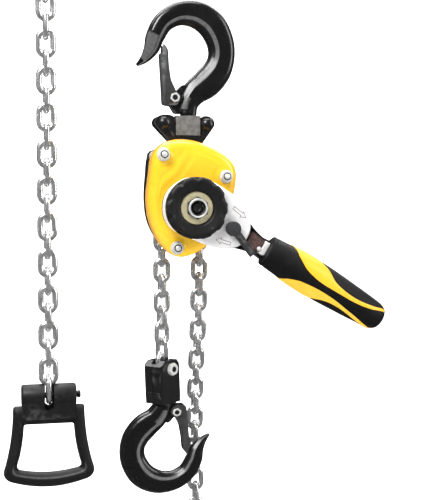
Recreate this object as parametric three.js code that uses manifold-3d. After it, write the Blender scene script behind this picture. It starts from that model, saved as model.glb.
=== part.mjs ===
// Lever chain hoist, hanging from its top hook. Millimetres, +Z up, lever side towards -Y.
// The origin is the saddle of the top hook, the point that bears on whatever the hoist hangs from.
import * as THREE from 'three';
import { mergeVertices } from 'three/addons/utils/BufferGeometryUtils.js';
import Module from 'manifold-3d';

const wasm = await Module();
wasm.setup();

// ---------------------------------------------------------------- driving dimensions
const GAP = 0.3;                         // clearance between neighbouring pieces
const WIRE = 2;                          // load chain wire radius
const PITCH = 12;                        // load chain pitch
const LINK_HALF_WIDTH = 6.7;             // half of a link's outer width
const LAP = 0.15;                        // neighbouring links sink into each other by twice this
const SIDES = 8;                         // twice the pockets of the sheave
const APOTHEM = PITCH / (2 * Math.tan(Math.PI / SIDES));  // sheave axis to strand centre

const AXIS = { x: -3.5, z: -136.5 };     // common axis of drive shaft, sheave, lever and hand wheel
const LOAD_X = AXIS.x - APOTHEM;         // loaded strand
const TAIL_X = AXIS.x + APOTHEM;         // free strand

const PLATE_IN = 10;                     // side plates, distance of the inner face from the chain plane
const PLATE_OUT = 12.5;
const COVER_FACE = -29.5;                // front face of the brake cover
const GEAR_FACE = 29;                    // rear face of the gear cover
const SHELL = 1.6;                       // thickness of the pressed covers
const GEAR_CENTRES = 18;                 // drive shaft to intermediate gears
const GEAR_LINE = THREE.MathUtils.degToRad(110);  // direction of the upper intermediate gear
const GEAR_CASE_R = 15.4;
const MODULE = 1;                        // gear module

const STAYS = {                          // stay bolts that hold the frame together
  top: { x: -21.7, z: -97.9 },
  right: { x: 25, z: -113.8 },
  bottom: { x: -11.8, z: -166.1 },
};
const STAY_R = 3;
const YOKE_PIN = { x: 1, z: -97.5 };
const YOKE_X = 1;                        // swivel axis of the top hook
const LEVER_ANGLE = THREE.MathUtils.degToRad(-31);
const LEVER_LINE = 1.6;                  // the arm's centre line above the radius through the axis
const GRIP_Y = -48;
const SELECTOR = { u: 31, v: 1.2 };      // selector shaft, along and across the lever
const LOAD_LINKS = 10;                   // links between the sheave and the hook block
const BLOCK_TURN = THREE.MathUtils.degToRad(38);
const BLOCK_TILT = THREE.MathUtils.degToRad(-2);  // the block hangs with its weight under the chain
const BOLT_Z = AXIS.z - LOAD_LINKS * PITCH - 2.8;
const LOWER_SADDLE_Z = -339;
const LOWER_SCALE = [0.93, 0.9, 0.85];   // the lower hook is a smaller pattern
const RING = { x: -109.5, y: -87, z: -260.1 };
const RING_SCALE = 1.03;                 // of the handle's outline against its drawn one
const RISER_X = -153;

// ---------------------------------------------------------------- colours
const finishes = {
  blackPaint: { color: 0x151515, roughness: 0.35, metalness: 0.4 },
  yellowPaint: { color: 0xf2b90f, roughness: 0.4, metalness: 0.1 },
  zinc: { color: 0xc9c9c4, roughness: 0.3, metalness: 0.9 },
  chrome: { color: 0xdedede, roughness: 0.12, metalness: 1 },
  steel: { color: 0x8d8f92, roughness: 0.4, metalness: 0.9 },
  brass: { color: 0xd6c188, roughness: 0.35, metalness: 0.8 },
  rubber: { color: 0x1c1c1c, roughness: 0.8, metalness: 0 },
  plastic: { color: 0x202020, roughness: 0.55, metalness: 0 },
  brown: { color: 0x4a3430, roughness: 0.6, metalness: 0.3 },
  lining: { color: 0x6b5a48, roughness: 0.9, metalness: 0 },
};

const hoist = new THREE.Group();

// ---------------------------------------------------------------- solids and booleans
function signedVolume(position, index) {
  let volume = 0;
  const a = new THREE.Vector3();
  const b = new THREE.Vector3();
  const c = new THREE.Vector3();
  for (let i = 0; i < index.length; i += 3) {
    a.fromArray(position, index[i] * 3);
    b.fromArray(position, index[i + 1] * 3);
    c.fromArray(position, index[i + 2] * 3);
    volume += a.dot(b.cross(c));
  }
  return volume;
}

function solid(geometry) {
  const bare = geometry.clone();
  bare.deleteAttribute('normal');
  bare.deleteAttribute('uv');
  const merged = mergeVertices(bare, 1e-4);
  const vertProperties = new Float32Array(merged.attributes.position.array);
  const flat = [];
  for (let i = 0; i < merged.index.count; i += 3) {
    const [a, b, c] = [0, 1, 2].map((k) => merged.index.getX(i + k));
    if (a !== b && b !== c && a !== c) flat.push(a, b, c);
  }
  if (signedVolume(vertProperties, flat) < 0) flat.reverse();
  return new wasm.Manifold(new wasm.Mesh({
    numProp: 3, vertProperties, triVerts: new Uint32Array(flat),
  }));
}

function unite(...solids) {
  return solids.reduce((sum, next) => sum.add(next));
}

function cut(body, ...tools) {
  return tools.reduce((rest, tool) => rest.subtract(tool), body);
}

function add(name, body, finish, parent = hoist) {
  const mesh = body.getMesh();
  const geometry = new THREE.BufferGeometry();
  geometry.setAttribute('position', new THREE.BufferAttribute(new Float32Array(mesh.vertProperties), 3));
  geometry.setIndex(new THREE.BufferAttribute(new Uint32Array(mesh.triVerts), 1));
  const node = new THREE.Mesh(geometry, new THREE.MeshStandardMaterial(finishes[finish]));
  node.name = name;
  parent.add(node);
  return node;
}

function box(x0, x1, y0, y1, z0, z1) {
  const geometry = new THREE.BoxGeometry(x1 - x0, y1 - y0, z1 - z0);
  geometry.translate((x0 + x1) / 2, (y0 + y1) / 2, (z0 + z1) / 2);
  return solid(geometry);
}

// A bar of radius r along Y, between two stations, at the point at.
function barY(r, y0, y1, at = { x: 0, z: 0 }, sides = 12) {
  const geometry = new THREE.CylinderGeometry(r, r, y1 - y0, sides);
  geometry.translate(at.x, (y0 + y1) / 2, at.z);
  return solid(geometry);
}

function barZ(r, z0, z1, x = 0, sides = 16) {
  const geometry = new THREE.CylinderGeometry(r, r, z1 - z0, sides);
  geometry.rotateX(Math.PI / 2);
  geometry.translate(x, 0, (z0 + z1) / 2);
  return solid(geometry);
}

// A turned piece about the Y direction through at. The profile is a closed loop of [radius, y].
function turnedY(profile, at = { x: 0, z: 0 }, segments = 18) {
  const loop = profile.map(([r, y]) => new THREE.Vector2(r, y));
  if (profile[0][0] > 0) loop.push(loop[0].clone());
  const geometry = new THREE.LatheGeometry(loop, segments);
  geometry.translate(at.x, 0, at.z);
  return solid(geometry);
}

function ringY(inner, outer, y0, y1, at = AXIS, segments = 18) {
  return turnedY([[inner, y0], [outer, y0], [outer, y1], [inner, y1]], at, segments);
}

// A plate whose outline lies in the XZ plane, from y0 to y1, with an optional rounded edge.
function plate(shape, y0, y1, round = 0, steps = 2) {
  const geometry = new THREE.ExtrudeGeometry(shape, {
    depth: y1 - y0 - 2 * round, curveSegments: 6,
    bevelEnabled: round > 0, bevelThickness: round, bevelSize: round, bevelOffset: -round,
    bevelSegments: steps,
  });
  geometry.rotateX(Math.PI / 2);
  geometry.translate(0, y1 - round, 0);
  return solid(geometry);
}

function outline(points) {
  return new THREE.Shape(points.map(([x, z]) => new THREE.Vector2(x, z)));
}

function smoothOutline(points, count) {
  const curve = new THREE.SplineCurve([...points, points[0]].map(([x, z]) => new THREE.Vector2(x, z)));
  return new THREE.Shape(curve.getPoints(count).slice(0, -1));
}

function round(sides) {
  const shape = new THREE.Shape();
  for (let i = 0; i < sides; i += 1) {
    const angle = (2 * Math.PI * (i + 0.5)) / sides;
    if (i === 0) shape.moveTo(Math.cos(angle), Math.sin(angle));
    else shape.lineTo(Math.cos(angle), Math.sin(angle));
  }
  return shape;
}

function tube(curve, radius, steps, sides = 8) {
  const points = round(sides).getPoints().map((p) => p.multiplyScalar(radius));
  return solid(new THREE.ExtrudeGeometry(new THREE.Shape(points), { steps, extrudePath: curve }));
}

// A round bar whose stations are bent on to a curve in the XZ plane. size(t) gives the half width
// in the plane and the half thickness across it; the section is a rounded rectangle.
function loft(curve, size, steps, sides = 12, square = 2.6) {
  const geometry = new THREE.CylinderGeometry(1, 1, 1, sides, steps);
  const position = geometry.attributes.position;
  for (let i = 0; i < position.count; i += 1) {
    const t = Math.min(1, Math.max(0, position.getY(i) + 0.5));
    const angle = Math.atan2(position.getZ(i), position.getX(i));
    const onRim = Math.hypot(position.getX(i), position.getZ(i)) > 0.5 ? 1 : 0;
    const c = Math.cos(angle);
    const s = Math.sin(angle);
    const reach = onRim / ((Math.abs(c) ** square + Math.abs(s) ** square) ** (1 / square));
    const { width, thick } = size(t);
    const centre = curve.getPoint(t);
    const along = curve.getTangent(t);
    const across = reach * c * width;
    position.setXYZ(i, centre.x - along.y * across, reach * s * thick, centre.y + along.x * across);
  }
  return solid(geometry);
}

// ---------------------------------------------------------------- chain
// One oval link centred at the origin, long in Z and flat in the XZ plane.
function link() {
  const bend = LINK_HALF_WIDTH - WIRE;
  const straight = PITCH / 2 + WIRE - bend - LAP;
  const half = (sign) => {
    const lap = 0.05;
    const at = (x, z) => new THREE.Vector3(x * sign, 0, z * sign);
    const bow = [];
    for (let i = 0; i <= 3; i += 1) {
      const angle = (Math.PI * i) / 3;
      bow.push(at(bend * Math.cos(angle), straight + bend * Math.sin(angle)));
    }
    return polylineTube([at(bend, -lap), ...bow, at(-bend, -lap)], WIRE, 5);
  };
  return half(1).add(half(-1));
}

// A mitred tube through the points of a plane polyline in XZ.
function polylineTube(points, radius, sides) {
  const geometry = new THREE.CylinderGeometry(1, 1, 1, sides, points.length - 1);
  const position = geometry.attributes.position;
  const last = points.length - 1;
  for (let i = 0; i < position.count; i += 1) {
    const k = Math.round((position.getY(i) + 0.5) * last);
    const before = points[Math.max(0, k - 1)];
    const after = points[Math.min(last, k + 1)];
    const a = points[k].clone().sub(before);
    const b = after.clone().sub(points[k]);
    if (k === 0) a.copy(b);
    if (k === last) b.copy(a);
    const mean = a.clone().normalize().add(b.clone().normalize()).normalize();
    const stretch = 1 / Math.max(0.5, mean.dot(b.clone().normalize()));
    const across = new THREE.Vector3(-mean.z, 0, mean.x).multiplyScalar(stretch);
    const x = position.getX(i) * radius;
    const y = position.getZ(i) * radius;
    position.setXYZ(i, points[k].x + across.x * x, y, points[k].z + across.z * x);
  }
  return solid(geometry);
}

// Links unite into one strand; each is turned a quarter turn about the strand from the one before.
function strand(places) {
  const one = link();
  const links = places.map(({ x, y = 0, z, lean = 0, turn }) => {
    const matrix = new THREE.Matrix4().makeTranslation(x, y, z)
      .multiply(new THREE.Matrix4().makeRotationY(lean))
      .multiply(new THREE.Matrix4().makeRotationZ(turn));
    return one.transform(matrix.elements);
  });
  return unite(...links);
}

// ---------------------------------------------------------------- gears
function gearOutline(teeth, phase, bore = 0) {
  const pitchRadius = (MODULE * teeth) / 2;
  const step = (2 * Math.PI) / teeth;
  const shape = new THREE.Shape();
  const flanks = [[-0.26, -1.3], [-0.1, 0.9], [0.1, 0.9], [0.26, -1.3]];
  for (let i = 0; i < teeth; i += 1) {
    flanks.forEach(([turn, height], k) => {
      const angle = phase + step * (i + turn);
      const r = pitchRadius + MODULE * height;
      if (i === 0 && k === 0) shape.moveTo(r * Math.cos(angle), r * Math.sin(angle));
      else shape.lineTo(r * Math.cos(angle), r * Math.sin(angle));
    });
  }
  if (bore > 0) shape.holes.push(new THREE.Path().absarc(0, 0, bore, 0, 2 * Math.PI, true));
  return shape;
}

function gear(teeth, phase, y0, y1, at) {
  return plate(gearOutline(teeth, phase), y0, y1).translate([at.x, 0, at.z]);
}

// ---------------------------------------------------------------- hooks
// Stations along the hook from neck to tip: centre x, centre z, half width.
const HOOK_STATIONS = [
  [1, -66, 8], [2.4, -58, 8.1], [8, -49.5, 9.8], [17, -42.4, 11.3], [24.6, -33.6, 11],
  [28.4, -23, 10.3], [27.4, -11, 10.6], [20.6, 1.6, 11.1], [9, 8.8, 10.4], [-4.4, 9, 8.9],
  [-15.8, 2.6, 7.8], [-22.2, -7.8, 7.2], [-25.2, -17, 6], [-28.6, -22.8, 4.4], [-32.2, -26.8, 2.9],
  [-36, -29.8, 1.4],
];
const HOOK_HALF_THICK = 7;
const SHANK_R = 4.6;
const LATCH_PIVOT = { x: -8.8, z: -54.3 };

function hookBody(shankEnd, neckZ) {
  const stations = HOOK_STATIONS.filter(([, z], i) => i > 0 || z > neckZ - 1);
  const curve = new THREE.SplineCurve(stations.map(([x, z]) => new THREE.Vector2(x, z)));
  const widths = new THREE.SplineCurve(stations.map(([, , w], i) => new THREE.Vector2(i, w)));
  const size = (t) => {
    const width = widths.getPoint(t).y;
    const slim = Math.min(1, (1 - t) * 3.4 + 0.1);
    return { width, thick: HOOK_HALF_THICK * slim };
  };
  const bow = loft(curve, size, 18, 8);
  const foot = Math.max(-66, neckZ - 2.4);
  const web = outline([[-2.2, -44.2], [4, -46], [4, foot], [-8.2, foot], [-12.2, -59.4], [-13.2, -54],
    [-8, -50.6]]);
  const collar = barZ(7.4, foot, neckZ + 3, YOKE_X, 16);
  const lug = unite(barY(5.4, -4, 4, LATCH_PIVOT, 16), plate(web, -4, 4), collar);
  const shank = barZ(SHANK_R, shankEnd, neckZ + 4, YOKE_X, 16);
  const head = barZ(5.9, shankEnd - 3.4, shankEnd, YOKE_X, 16);
  const flat = (side) => barY(7.4, side * 8 - 3.8, side * 8 + 3.8, LATCH_PIVOT, 20);
  const bore = barY(2, -9, 9, LATCH_PIVOT, 12);
  return cut(unite(bow, lug, shank, head), flat(1), flat(-1), bore);
}

function latchBody() {
  const ears = outline([
    [-19.6, -20.6], [-18.4, -14.6], [-16.6, -14.2], [-13.6, -18.6], [-13.2, -29], [-11.6, -41], [-7.6, -49.6],
    [-4.4, -52], [-4.2, -56.5], [-8, -60.4], [-17, -59.4],
  ]);
  const inside = outline([[-17.4, -21.4], [-22, -21.4], [-22, -10], [-8, -10], [2, -40], [2, -66],
    [-15.2, -66]]);
  return cut(
    plate(ears, -6.4, 6.4),
    plate(inside, -4.4, 4.4),
    barY(2, -9, 9, LATCH_PIVOT, 12),
  );
}

function latchPin() {
  const head = new THREE.CylinderGeometry(3.4, 3.4, 2.2, 6);
  head.translate(LATCH_PIVOT.x, -7.8, LATCH_PIVOT.z);
  return unite(barY(1.6, -8.7, 7.6, LATCH_PIVOT, 12), solid(head), barY(3, 6.7, 8.2, LATCH_PIVOT, 12));
}

function addHook(prefix, parent, shankEnd, neckZ, scale = [1, 1, 1]) {
  add(`${prefix}_hook`, hookBody(shankEnd, neckZ).scale(scale), 'blackPaint', parent);
  add(`${prefix}_latch`, latchBody().scale(scale), 'plastic', parent);
  add(`${prefix}_latch_pin`, latchPin().scale(scale), 'zinc', parent);
}

// ---------------------------------------------------------------- top yoke
function addYoke() {
  const halfOutline = [
    [-24.6, -74], [-23, -69], [-18, -67], [-9.4, -68], [-9.4, -83.5], [11.4, -83.5], [11.4, -68],
    [16, -67.8], [20.4, -70], [21.6, -75], [11, -90], [9.6, -102], [5, -105.5], [-3, -105.5],
    [-7.6, -102], [-9, -90],
  ];
  const rivets = { left: { x: -17.2, z: -73.4 }, right: { x: 15.8, z: -74.2 } };
  const holes = () => [rivets.left, rivets.right].map((at) => barY(2.6, -12, 12, at, 12));
  const pinHole = () => barY(4.1, -12, 12, YOKE_PIN);
  for (const [side, y0, y1] of [['front', -9.2, -6.2], ['rear', 6.2, 9.2]]) {
    add(`yoke_${side}_plate`, cut(plate(outline(halfOutline), y0, y1), ...holes(), pinHole()), 'blackPaint');
  }
  const arms = plate(outline([[-21.8, -68.8], [-23.2, -73.8], [-10.4, -88.2], [-8, -88.2], [-8, -79.5],
    [10, -79.5], [10, -88.2], [12, -88.2], [20.2, -74.8], [19.2, -69]]), -5.8, 5.8);
  const block = box(YOKE_X - 9.3, YOKE_X + 9.3, -8.6, 8.6, -82.6, -67.9);
  const bearing = unite(cut(block, barZ(4.9, -90, -60, YOKE_X)), cut(arms, barZ(8, -95, -60, YOKE_X)));
  add('yoke_block', cut(bearing, ...holes()), 'steel');
  for (const [side, at] of Object.entries(rivets)) {
    const rivet = turnedY([[0, -12], [3, -11.4], [4.9, -9.5], [2.3, -9.5], [2.3, 9.5],
      [4.9, 9.5], [3, 11.4], [0, 12]], at, 12);
    add(`yoke_rivet_${side}`, rivet, 'blackPaint');
  }
}

// ---------------------------------------------------------------- frame and covers
const COVER_OUTLINE = [
  [-8, -86.2], [7.1, -88.5], [24.1, -96.5], [33.9, -108.5], [32.2, -128], [24.1, -149], [10, -166.5],
  [-8, -173.3], [-21.2, -165], [-29.7, -149], [-32.5, -131], [-30.6, -112], [-28, -97.5], [-20, -89],
];
const PLATE_OUTLINE = [
  [-8, -88], [8, -90], [23, -97.5], [31.5, -108.5], [30, -128], [22, -147], [8, -164.5],
  [-8, -172], [-19.5, -163], [-27.5, -148], [-30, -131], [-29, -112], [-27, -98], [-19, -91],
];

function stayHoles(r, y0, y1) {
  return Object.values(STAYS).map((at) => barY(r, y0, y1, at, 16));
}

function addFrame() {
  for (const [side, y0, y1] of [['front', -PLATE_OUT, -PLATE_IN], ['rear', PLATE_IN, PLATE_OUT]]) {
    const blank = plate(smoothOutline(PLATE_OUTLINE, 24), y0, y1);
    const holes = [
      barY(9.1, -40, 40, AXIS), barY(4.1, -40, 40, YOKE_PIN, 20), ...stayHoles(STAY_R + GAP, -40, 40),
    ];
    if (side === 'rear') for (const at of gearCentres()) holes.push(barY(3.3, -40, 40, at, 16));
    else for (const at of Object.values(PAWLS)) holes.push(barY(2.3, -40, 40, at, 12));
    add(`${side}_side_plate`, cut(blank, ...holes), 'blackPaint');
    add(`${side}_bearing`, ringY(7.9, 8.8, y0 + 0.1, y1 - 0.1), 'brass');
  }
  add('suspension_pin', barY(3.8, -12.4, 12.4, YOKE_PIN, 20), 'steel');
}

// The brake cover is a pressed dome: the outline with a rounded front edge, hollow behind.
function addBrakeCover() {
  const back = -PLATE_OUT - GAP;
  const outer = plate(smoothOutline(COVER_OUTLINE, 28), COVER_FACE, -COVER_FACE, 6, 2)
    .intersect(box(-60, 60, COVER_FACE - 1, back, -200, -60));
  const inner = plate(smoothOutline(inset(COVER_OUTLINE, SHELL), 24), COVER_FACE + SHELL, -COVER_FACE, 5, 1)
    .intersect(box(-60, 60, COVER_FACE, back + 1, -200, -60));
  const shell = cut(outer, inner);
  const seats = Object.values(STAYS).map((at) => barY(6, COVER_FACE - 0.6, back, at, 12)
    .intersect(plate(smoothOutline(COVER_OUTLINE, 28), COVER_FACE - 1, back)));
  const body = cut(unite(shell, ...seats), barY(11, -40, 0, AXIS), ...stayHoles(STAY_R + GAP, -40, 0));
  add('brake_cover', body, 'yellowPaint');
}

function inset(points, by) {
  const centre = points.reduce(([a, b], [x, z]) => [a + x / points.length, b + z / points.length], [0, 0]);
  return points.map(([x, z]) => {
    const reach = Math.hypot(x - centre[0], z - centre[1]);
    const keep = (reach - by) / reach;
    return [centre[0] + (x - centre[0]) * keep, centre[1] + (z - centre[1]) * keep];
  });
}

// Two lobes round the intermediate gears, joined by straight sides.
function gearCaseOutline(r, steps = 6) {
  const shape = new THREE.Shape();
  const [upper, lower] = gearCentres();
  shape.absarc(upper.x, upper.z, r, GEAR_LINE - Math.PI / 2, GEAR_LINE + Math.PI / 2, false);
  shape.absarc(lower.x, lower.z, r, GEAR_LINE + Math.PI / 2, GEAR_LINE + 1.5 * Math.PI, false);
  return new THREE.Shape(shape.getPoints(steps));
}

// A flat bar between two points of the XZ plane, with the half width w.
function strap(a, b, w, y0, y1) {
  const length = Math.hypot(b.x - a.x, b.z - a.z);
  const [nx, nz] = [(-(b.z - a.z) / length) * w, ((b.x - a.x) / length) * w];
  return plate(outline([[a.x + nx, a.z + nz], [a.x - nx, a.z - nz], [b.x - nx, b.z - nz],
    [b.x + nx, b.z + nz]]), y0, y1);
}

function addGearCover() {
  const front = PLATE_OUT + GAP;
  const outer = plate(gearCaseOutline(GEAR_CASE_R), -GEAR_FACE, GEAR_FACE, 4, 2)
    .intersect(box(-60, 60, front, GEAR_FACE + 1, -200, -60));
  const inner = plate(gearCaseOutline(GEAR_CASE_R - SHELL), -GEAR_FACE, GEAR_FACE - SHELL, 2.6, 1)
    .intersect(box(-60, 60, front - 1, GEAR_FACE, -200, -60));
  const [upper, lower] = gearCentres();
  const ears = [[STAYS.top, upper], [STAYS.bottom, lower]].map(([at, lobe]) => unite(
    barY(5, front, front + 3, at),
    strap(at, lobe, 5, front, front + 3),
  ));
  const holes = [STAYS.top, STAYS.bottom].map((at) => barY(STAY_R + GAP, 0, 40, at));
  add('gear_cover', cut(unite(outer, ...ears), inner, ...holes), 'blackPaint');
}

function nut(acrossCorners, y0, y1, at, bore) {
  const hex = new THREE.CylinderGeometry(acrossCorners / 2, acrossCorners / 2, y1 - y0, 6);
  hex.translate(at.x, (y0 + y1) / 2, at.z);
  return cut(solid(hex), barY(bore, y0 - 1, y1 + 1, at, 16));
}

// Two stay bolts cross the frame from the front nuts to the gear cover's ears or the rear plate; the
// lowest is a short stud in the front plate, because the loaded strand passes behind it.
function stayBolt(place, at) {
  const r = STAY_R - 0.2;
  const front = [[0, -36.4], [2.2, -36.4], [r, -35.8], [r, -PLATE_IN + GAP], [4.2, -PLATE_IN + GAP]];
  if (place === 'bottom') return turnedY([...front, [4.2, -9], [0, -9]], at, 12);
  const rear = PLATE_OUT + GAP + (place === 'top' ? 3 + GAP : 0);
  return turnedY([...front, [4.2, PLATE_IN - GAP], [r, PLATE_IN - GAP], [r, rear], [5, rear],
    [5, rear + 3], [0, rear + 3]], at, 12);
}

function addStays() {
  for (const [place, at] of Object.entries(STAYS)) {
    add(`stay_bolt_${place}`, stayBolt(place, at), 'zinc');
    const washer = ringY(3.1, 5.4, -31.4, -30.4, at, 16);
    add(`stay_nut_${place}`, unite(nut(8.6, -35.4, -31.2, at, 3.1), washer), 'zinc');
  }
}

// ---------------------------------------------------------------- gear train and brake
const PAWLS = { upper: { x: -24, z: -118 }, lower: { x: 6.5, z: -158 } };
const RATCHET_R = 19.5;

function gearCentres() {
  return [1, -1].map((side) => ({
    x: AXIS.x + side * GEAR_CENTRES * Math.cos(GEAR_LINE),
    z: AXIS.z + side * GEAR_CENTRES * Math.sin(GEAR_LINE),
  }));
}

function addLoadSheave() {
  const rim = turnedY([
    [4.6, -12.2], [7.6, -12.2], [7.6, -8.8], [20, -8.8], [20, -7.3], [12, -7], [12, -2.7], [7.3, -2.4],
    [7.3, 2.4], [12, 2.7], [12, 7], [20, 7.3], [20, 8.8], [7.6, 8.8], [7.6, 20], [4.6, 20],
  ], AXIS, 16);
  const teeth = [];
  for (let k = 0; k < 4; k += 1) {
    for (const side of [-1, 1]) {
      const inner = Math.min(side * 3.4, side * 7.6);
      const tooth = box(11, 15.6, inner, inner + 4.2, -1.3, 1.3)
        .rotate([0, 90 * k, 0]).translate([AXIS.x, 0, AXIS.z]);
      teeth.push(tooth);
    }
  }
  add('load_sheave', unite(rim, ...teeth), 'steel');
  const gearRim = gear(22, GEAR_LINE, 13.4, 19.2, AXIS);
  add('load_gear', cut(gearRim, barY(7.9, 10, 24, AXIS)), 'steel');
}

// The stripper stands between the strands and reaches into the groove, to lift the chain out of it.
function addChainStripper() {
  const block = box(-8.6, 1.6, -8.6, PLATE_IN - GAP, -168, -158.4);
  const nose = box(-6.2, -0.8, -2, 2, -158.6, -151.6);
  add('chain_stripper', unite(block, nose), 'steel');
}

function addIntermediateGears() {
  gearCentres().forEach((at, i) => {
    const towardsShaft = GEAR_LINE + (i === 0 ? Math.PI : 0);
    const large = gear(24, towardsShaft + Math.PI / 24, 20.2, 24, at);
    const small = gear(14, towardsShaft + Math.PI / 14, 13.4, 20.4, at);
    const axle = barY(3, 10.2, 27, at, 12);
    add(`disc_gear_${i === 0 ? 'upper' : 'lower'}`, unite(large, small, axle), 'steel');
  });
}

function addDrive() {
  const shaft = turnedY([[0, -64], [4, -64], [4, 27], [0, 27]], AXIS, 16);
  add('drive_shaft', unite(shaft, gear(12, GEAR_LINE, 20.2, 24.4, AXIS)), 'steel');
  add('brake_hub', turnedY([[4.3, -33], [6, -33], [6, -16.6], [16.5, -16.6], [16.5, -14], [4.3, -14]], AXIS), 'steel');
  add('friction_disc_rear', ringY(6.4, 16, -18.2, -16.9), 'lining');
  add('ratchet_disc', cut(ratchetWheel(RATCHET_R, 15, -21.6, -18.5), barY(6.4, -40, 0, AXIS)), 'steel');
  add('friction_disc_front', ringY(6.4, 16, -23.2, -21.9), 'lining');
  const hub = turnedY([[6.4, -23.5], [6.4, -33.6], [4.3, -33.6], [4.3, -57], [8, -57], [8, -26.4],
    [16.5, -26.4], [16.5, -23.5]], AXIS);
  const wheel = cut(ratchetWheel(15, 12, -43, -38), barY(7.5, -60, 0, AXIS));
  add('lever_ratchet', unite(hub, wheel), 'steel');
}

// A ratchet wheel with straight-backed teeth.
function ratchetWheel(radius, teeth, y0, y1) {
  const shape = new THREE.Shape();
  for (let i = 0; i < teeth; i += 1) {
    const a = (2 * Math.PI * i) / teeth;
    const b = (2 * Math.PI * (i + 0.2)) / teeth;
    if (i === 0) shape.moveTo(radius * Math.cos(a), radius * Math.sin(a));
    else shape.lineTo(radius * Math.cos(a), radius * Math.sin(a));
    shape.lineTo(radius * Math.cos(b), radius * Math.sin(b));
    shape.lineTo(0.84 * radius * Math.cos(b + 0.06), 0.84 * radius * Math.sin(b + 0.06));
  }
  return plate(shape, y0, y1).translate([AXIS.x, 0, AXIS.z]);
}

function addPawls() {
  for (const [place, at] of Object.entries(PAWLS)) {
    const towards = Math.atan2(AXIS.z - at.z, AXIS.x - at.x);
    const distance = Math.hypot(AXIS.z - at.z, AXIS.x - at.x);
    const reach = distance - RATCHET_R - 0.8;
    const nose = outline([[-1, 3.6], [reach, 2], [reach, -1.4], [-1, -3.6]]);
    const body = unite(plate(nose, -21.4, -18.6), barY(3.8, -21.4, -18.6, { x: 0, z: 0 }, 16))
      .rotate([0, THREE.MathUtils.radToDeg(-towards), 0]).translate([at.x, 0, at.z]);
    add(`brake_pawl_${place}`, cut(body, barY(2.3, -30, 0, at, 12)), 'steel');
    const pin = turnedY([[0, -24], [3.4, -24], [3.4, -21.8], [2, -21.8], [2, -10.2], [0, -10.2]], at, 12);
    add(`pawl_pin_${place}`, pin, 'steel');
  }
}

// ---------------------------------------------------------------- hand wheel
function addHandWheel() {
  const lobes = 10;
  const rim = new THREE.Shape();
  const steps = lobes * 4;
  for (let i = 0; i < steps; i += 1) {
    const angle = (2 * Math.PI * i) / steps;
    const r = 21.4 + 0.9 * Math.cos(lobes * angle);
    if (i === 0) rim.moveTo(r * Math.cos(angle), r * Math.sin(angle));
    else rim.lineTo(r * Math.cos(angle), r * Math.sin(angle));
  }
  const grip = plate(rim, -65.6, -59.4).translate([AXIS.x, 0, AXIS.z]);
  const drum = ringY(4.3, 22, -60.4, -57.4, AXIS, 28);
  const recess = barY(12, -70, -61.4, AXIS, 20);
  add('hand_wheel', cut(unite(grip, drum), recess, barY(4.3, -80, 0, AXIS, 20)), 'plastic');
  add('wheel_washer', ringY(4.3, 11.6, -62.5, -61.7), 'brass');
  const collar = ringY(4.4, 6.6, -67.6, -66, AXIS, 24);
  add('wheel_nut', unite(nut(16, -66.4, -62.8, AXIS, 4.4), collar), 'steel');
}

// ---------------------------------------------------------------- lever
// The lever's pieces are drawn along u (outwards) and v (across), then turned to the lever's angle.
function inLever(body) {
  return body.rotate([0, THREE.MathUtils.radToDeg(-LEVER_ANGLE), 0]).translate([AXIS.x, 0, AXIS.z]);
}

const CASING = [
  [-16, 15], [-4, 21.6], [9, 23], [26, 21.6], [37, 16], [43, 8], [44, -1], [41, -8], [33, -14.6], [24, -17.6],
  [10, -19.6], [-6, -20.8], [-17, -14], [-22, 0],
];
const ARM = [
  [-15, 14], [-4, 20], [10, 21.4], [26, 19.6], [38, 15], [47, 10.8], [56, 8.6], [66, 8], [66, -5],
  [56, -5.6], [44, -8.6], [33, -13.6], [22, -16.8], [8, -18.6], [-6, -19.4], [-15.6, -13], [-20.4, 0],
];

// Outside the round boss the lever's back stands clear of the stay bolts as it sweeps over them.
const BOSS_R = 24;
const ARM_BACK = -37;

function addLever() {
  const hubHole = () => barY(8.6, -80, 0);
  const shaftHole = () => barY(3, -80, 0, { x: SELECTOR.u, z: SELECTOR.v }, 16);
  const arm = plate(smoothOutline(ARM, 34), -46, -33);
  const cavity = plate(smoothOutline(inset(ARM, 2), 26), -47, -35).intersect(box(-60, 48, -50, -30, -40, 40));
  const innerShell = cut(
    arm,
    ringY(BOSS_R, 90, ARM_BACK, -32, { x: 0, z: 0 }, 32),
    cut(cavity, ringY(BOSS_R - 2, 90, ARM_BACK - 2, -32, { x: 0, z: 0 }, 32)),
    hubHole(),
  );
  add('lever_inner_casing', inLever(innerShell), 'blackPaint');
  const outerShell = cut(
    plate(smoothOutline(CASING, 30), -56.6, -36, 2, 1).intersect(box(-60, 60, -57, -46.3, -40, 40)),
    plate(smoothOutline(inset(CASING, 1.8), 24), -54.8, -40),
    hubHole(), shaftHole(),
  );
  add('lever_outer_casing', inLever(outerShell), 'chrome');
  const mid = LEVER_LINE;
  add('lever_neck', inLever(plate(outline([[46.4, mid + 5.6], [57.4, mid + 4.4], [57.4, mid - 4.4],
    [46.4, mid - 5.6]]), -53, -46.3)), 'brown');
  add('lever_bar', inLever(unite(
    box(57.8, 61.8, -53.4, -46.3, mid - 5, mid + 5),
    box(60.4, 120, -51.6, -46.3, mid - 4, mid + 4),
  )), 'chrome');
  const profile = [[0, 62.6], [10.8, 62.6], [11.8, 64], [12.3, 70], [13.4, 82], [14.2, 96], [14.1, 112],
    [13.4, 126], [11.9, 148], [11, 158], [8.6, 164], [0, 167]];
  const skin = turnedY(profile, { x: 0, z: 0 }, 16).rotate([0, 0, -90]).translate([0, GRIP_Y, mid]);
  const socket = box(50, 121, -52, -45.9, mid - 4.4, mid + 4.4);
  const tang = box(50, 70, -46.1, -32, mid - 7.8, mid + 7.6);
  add('lever_grip', inLever(cut(skin, socket, tang)), 'rubber');
}

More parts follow.
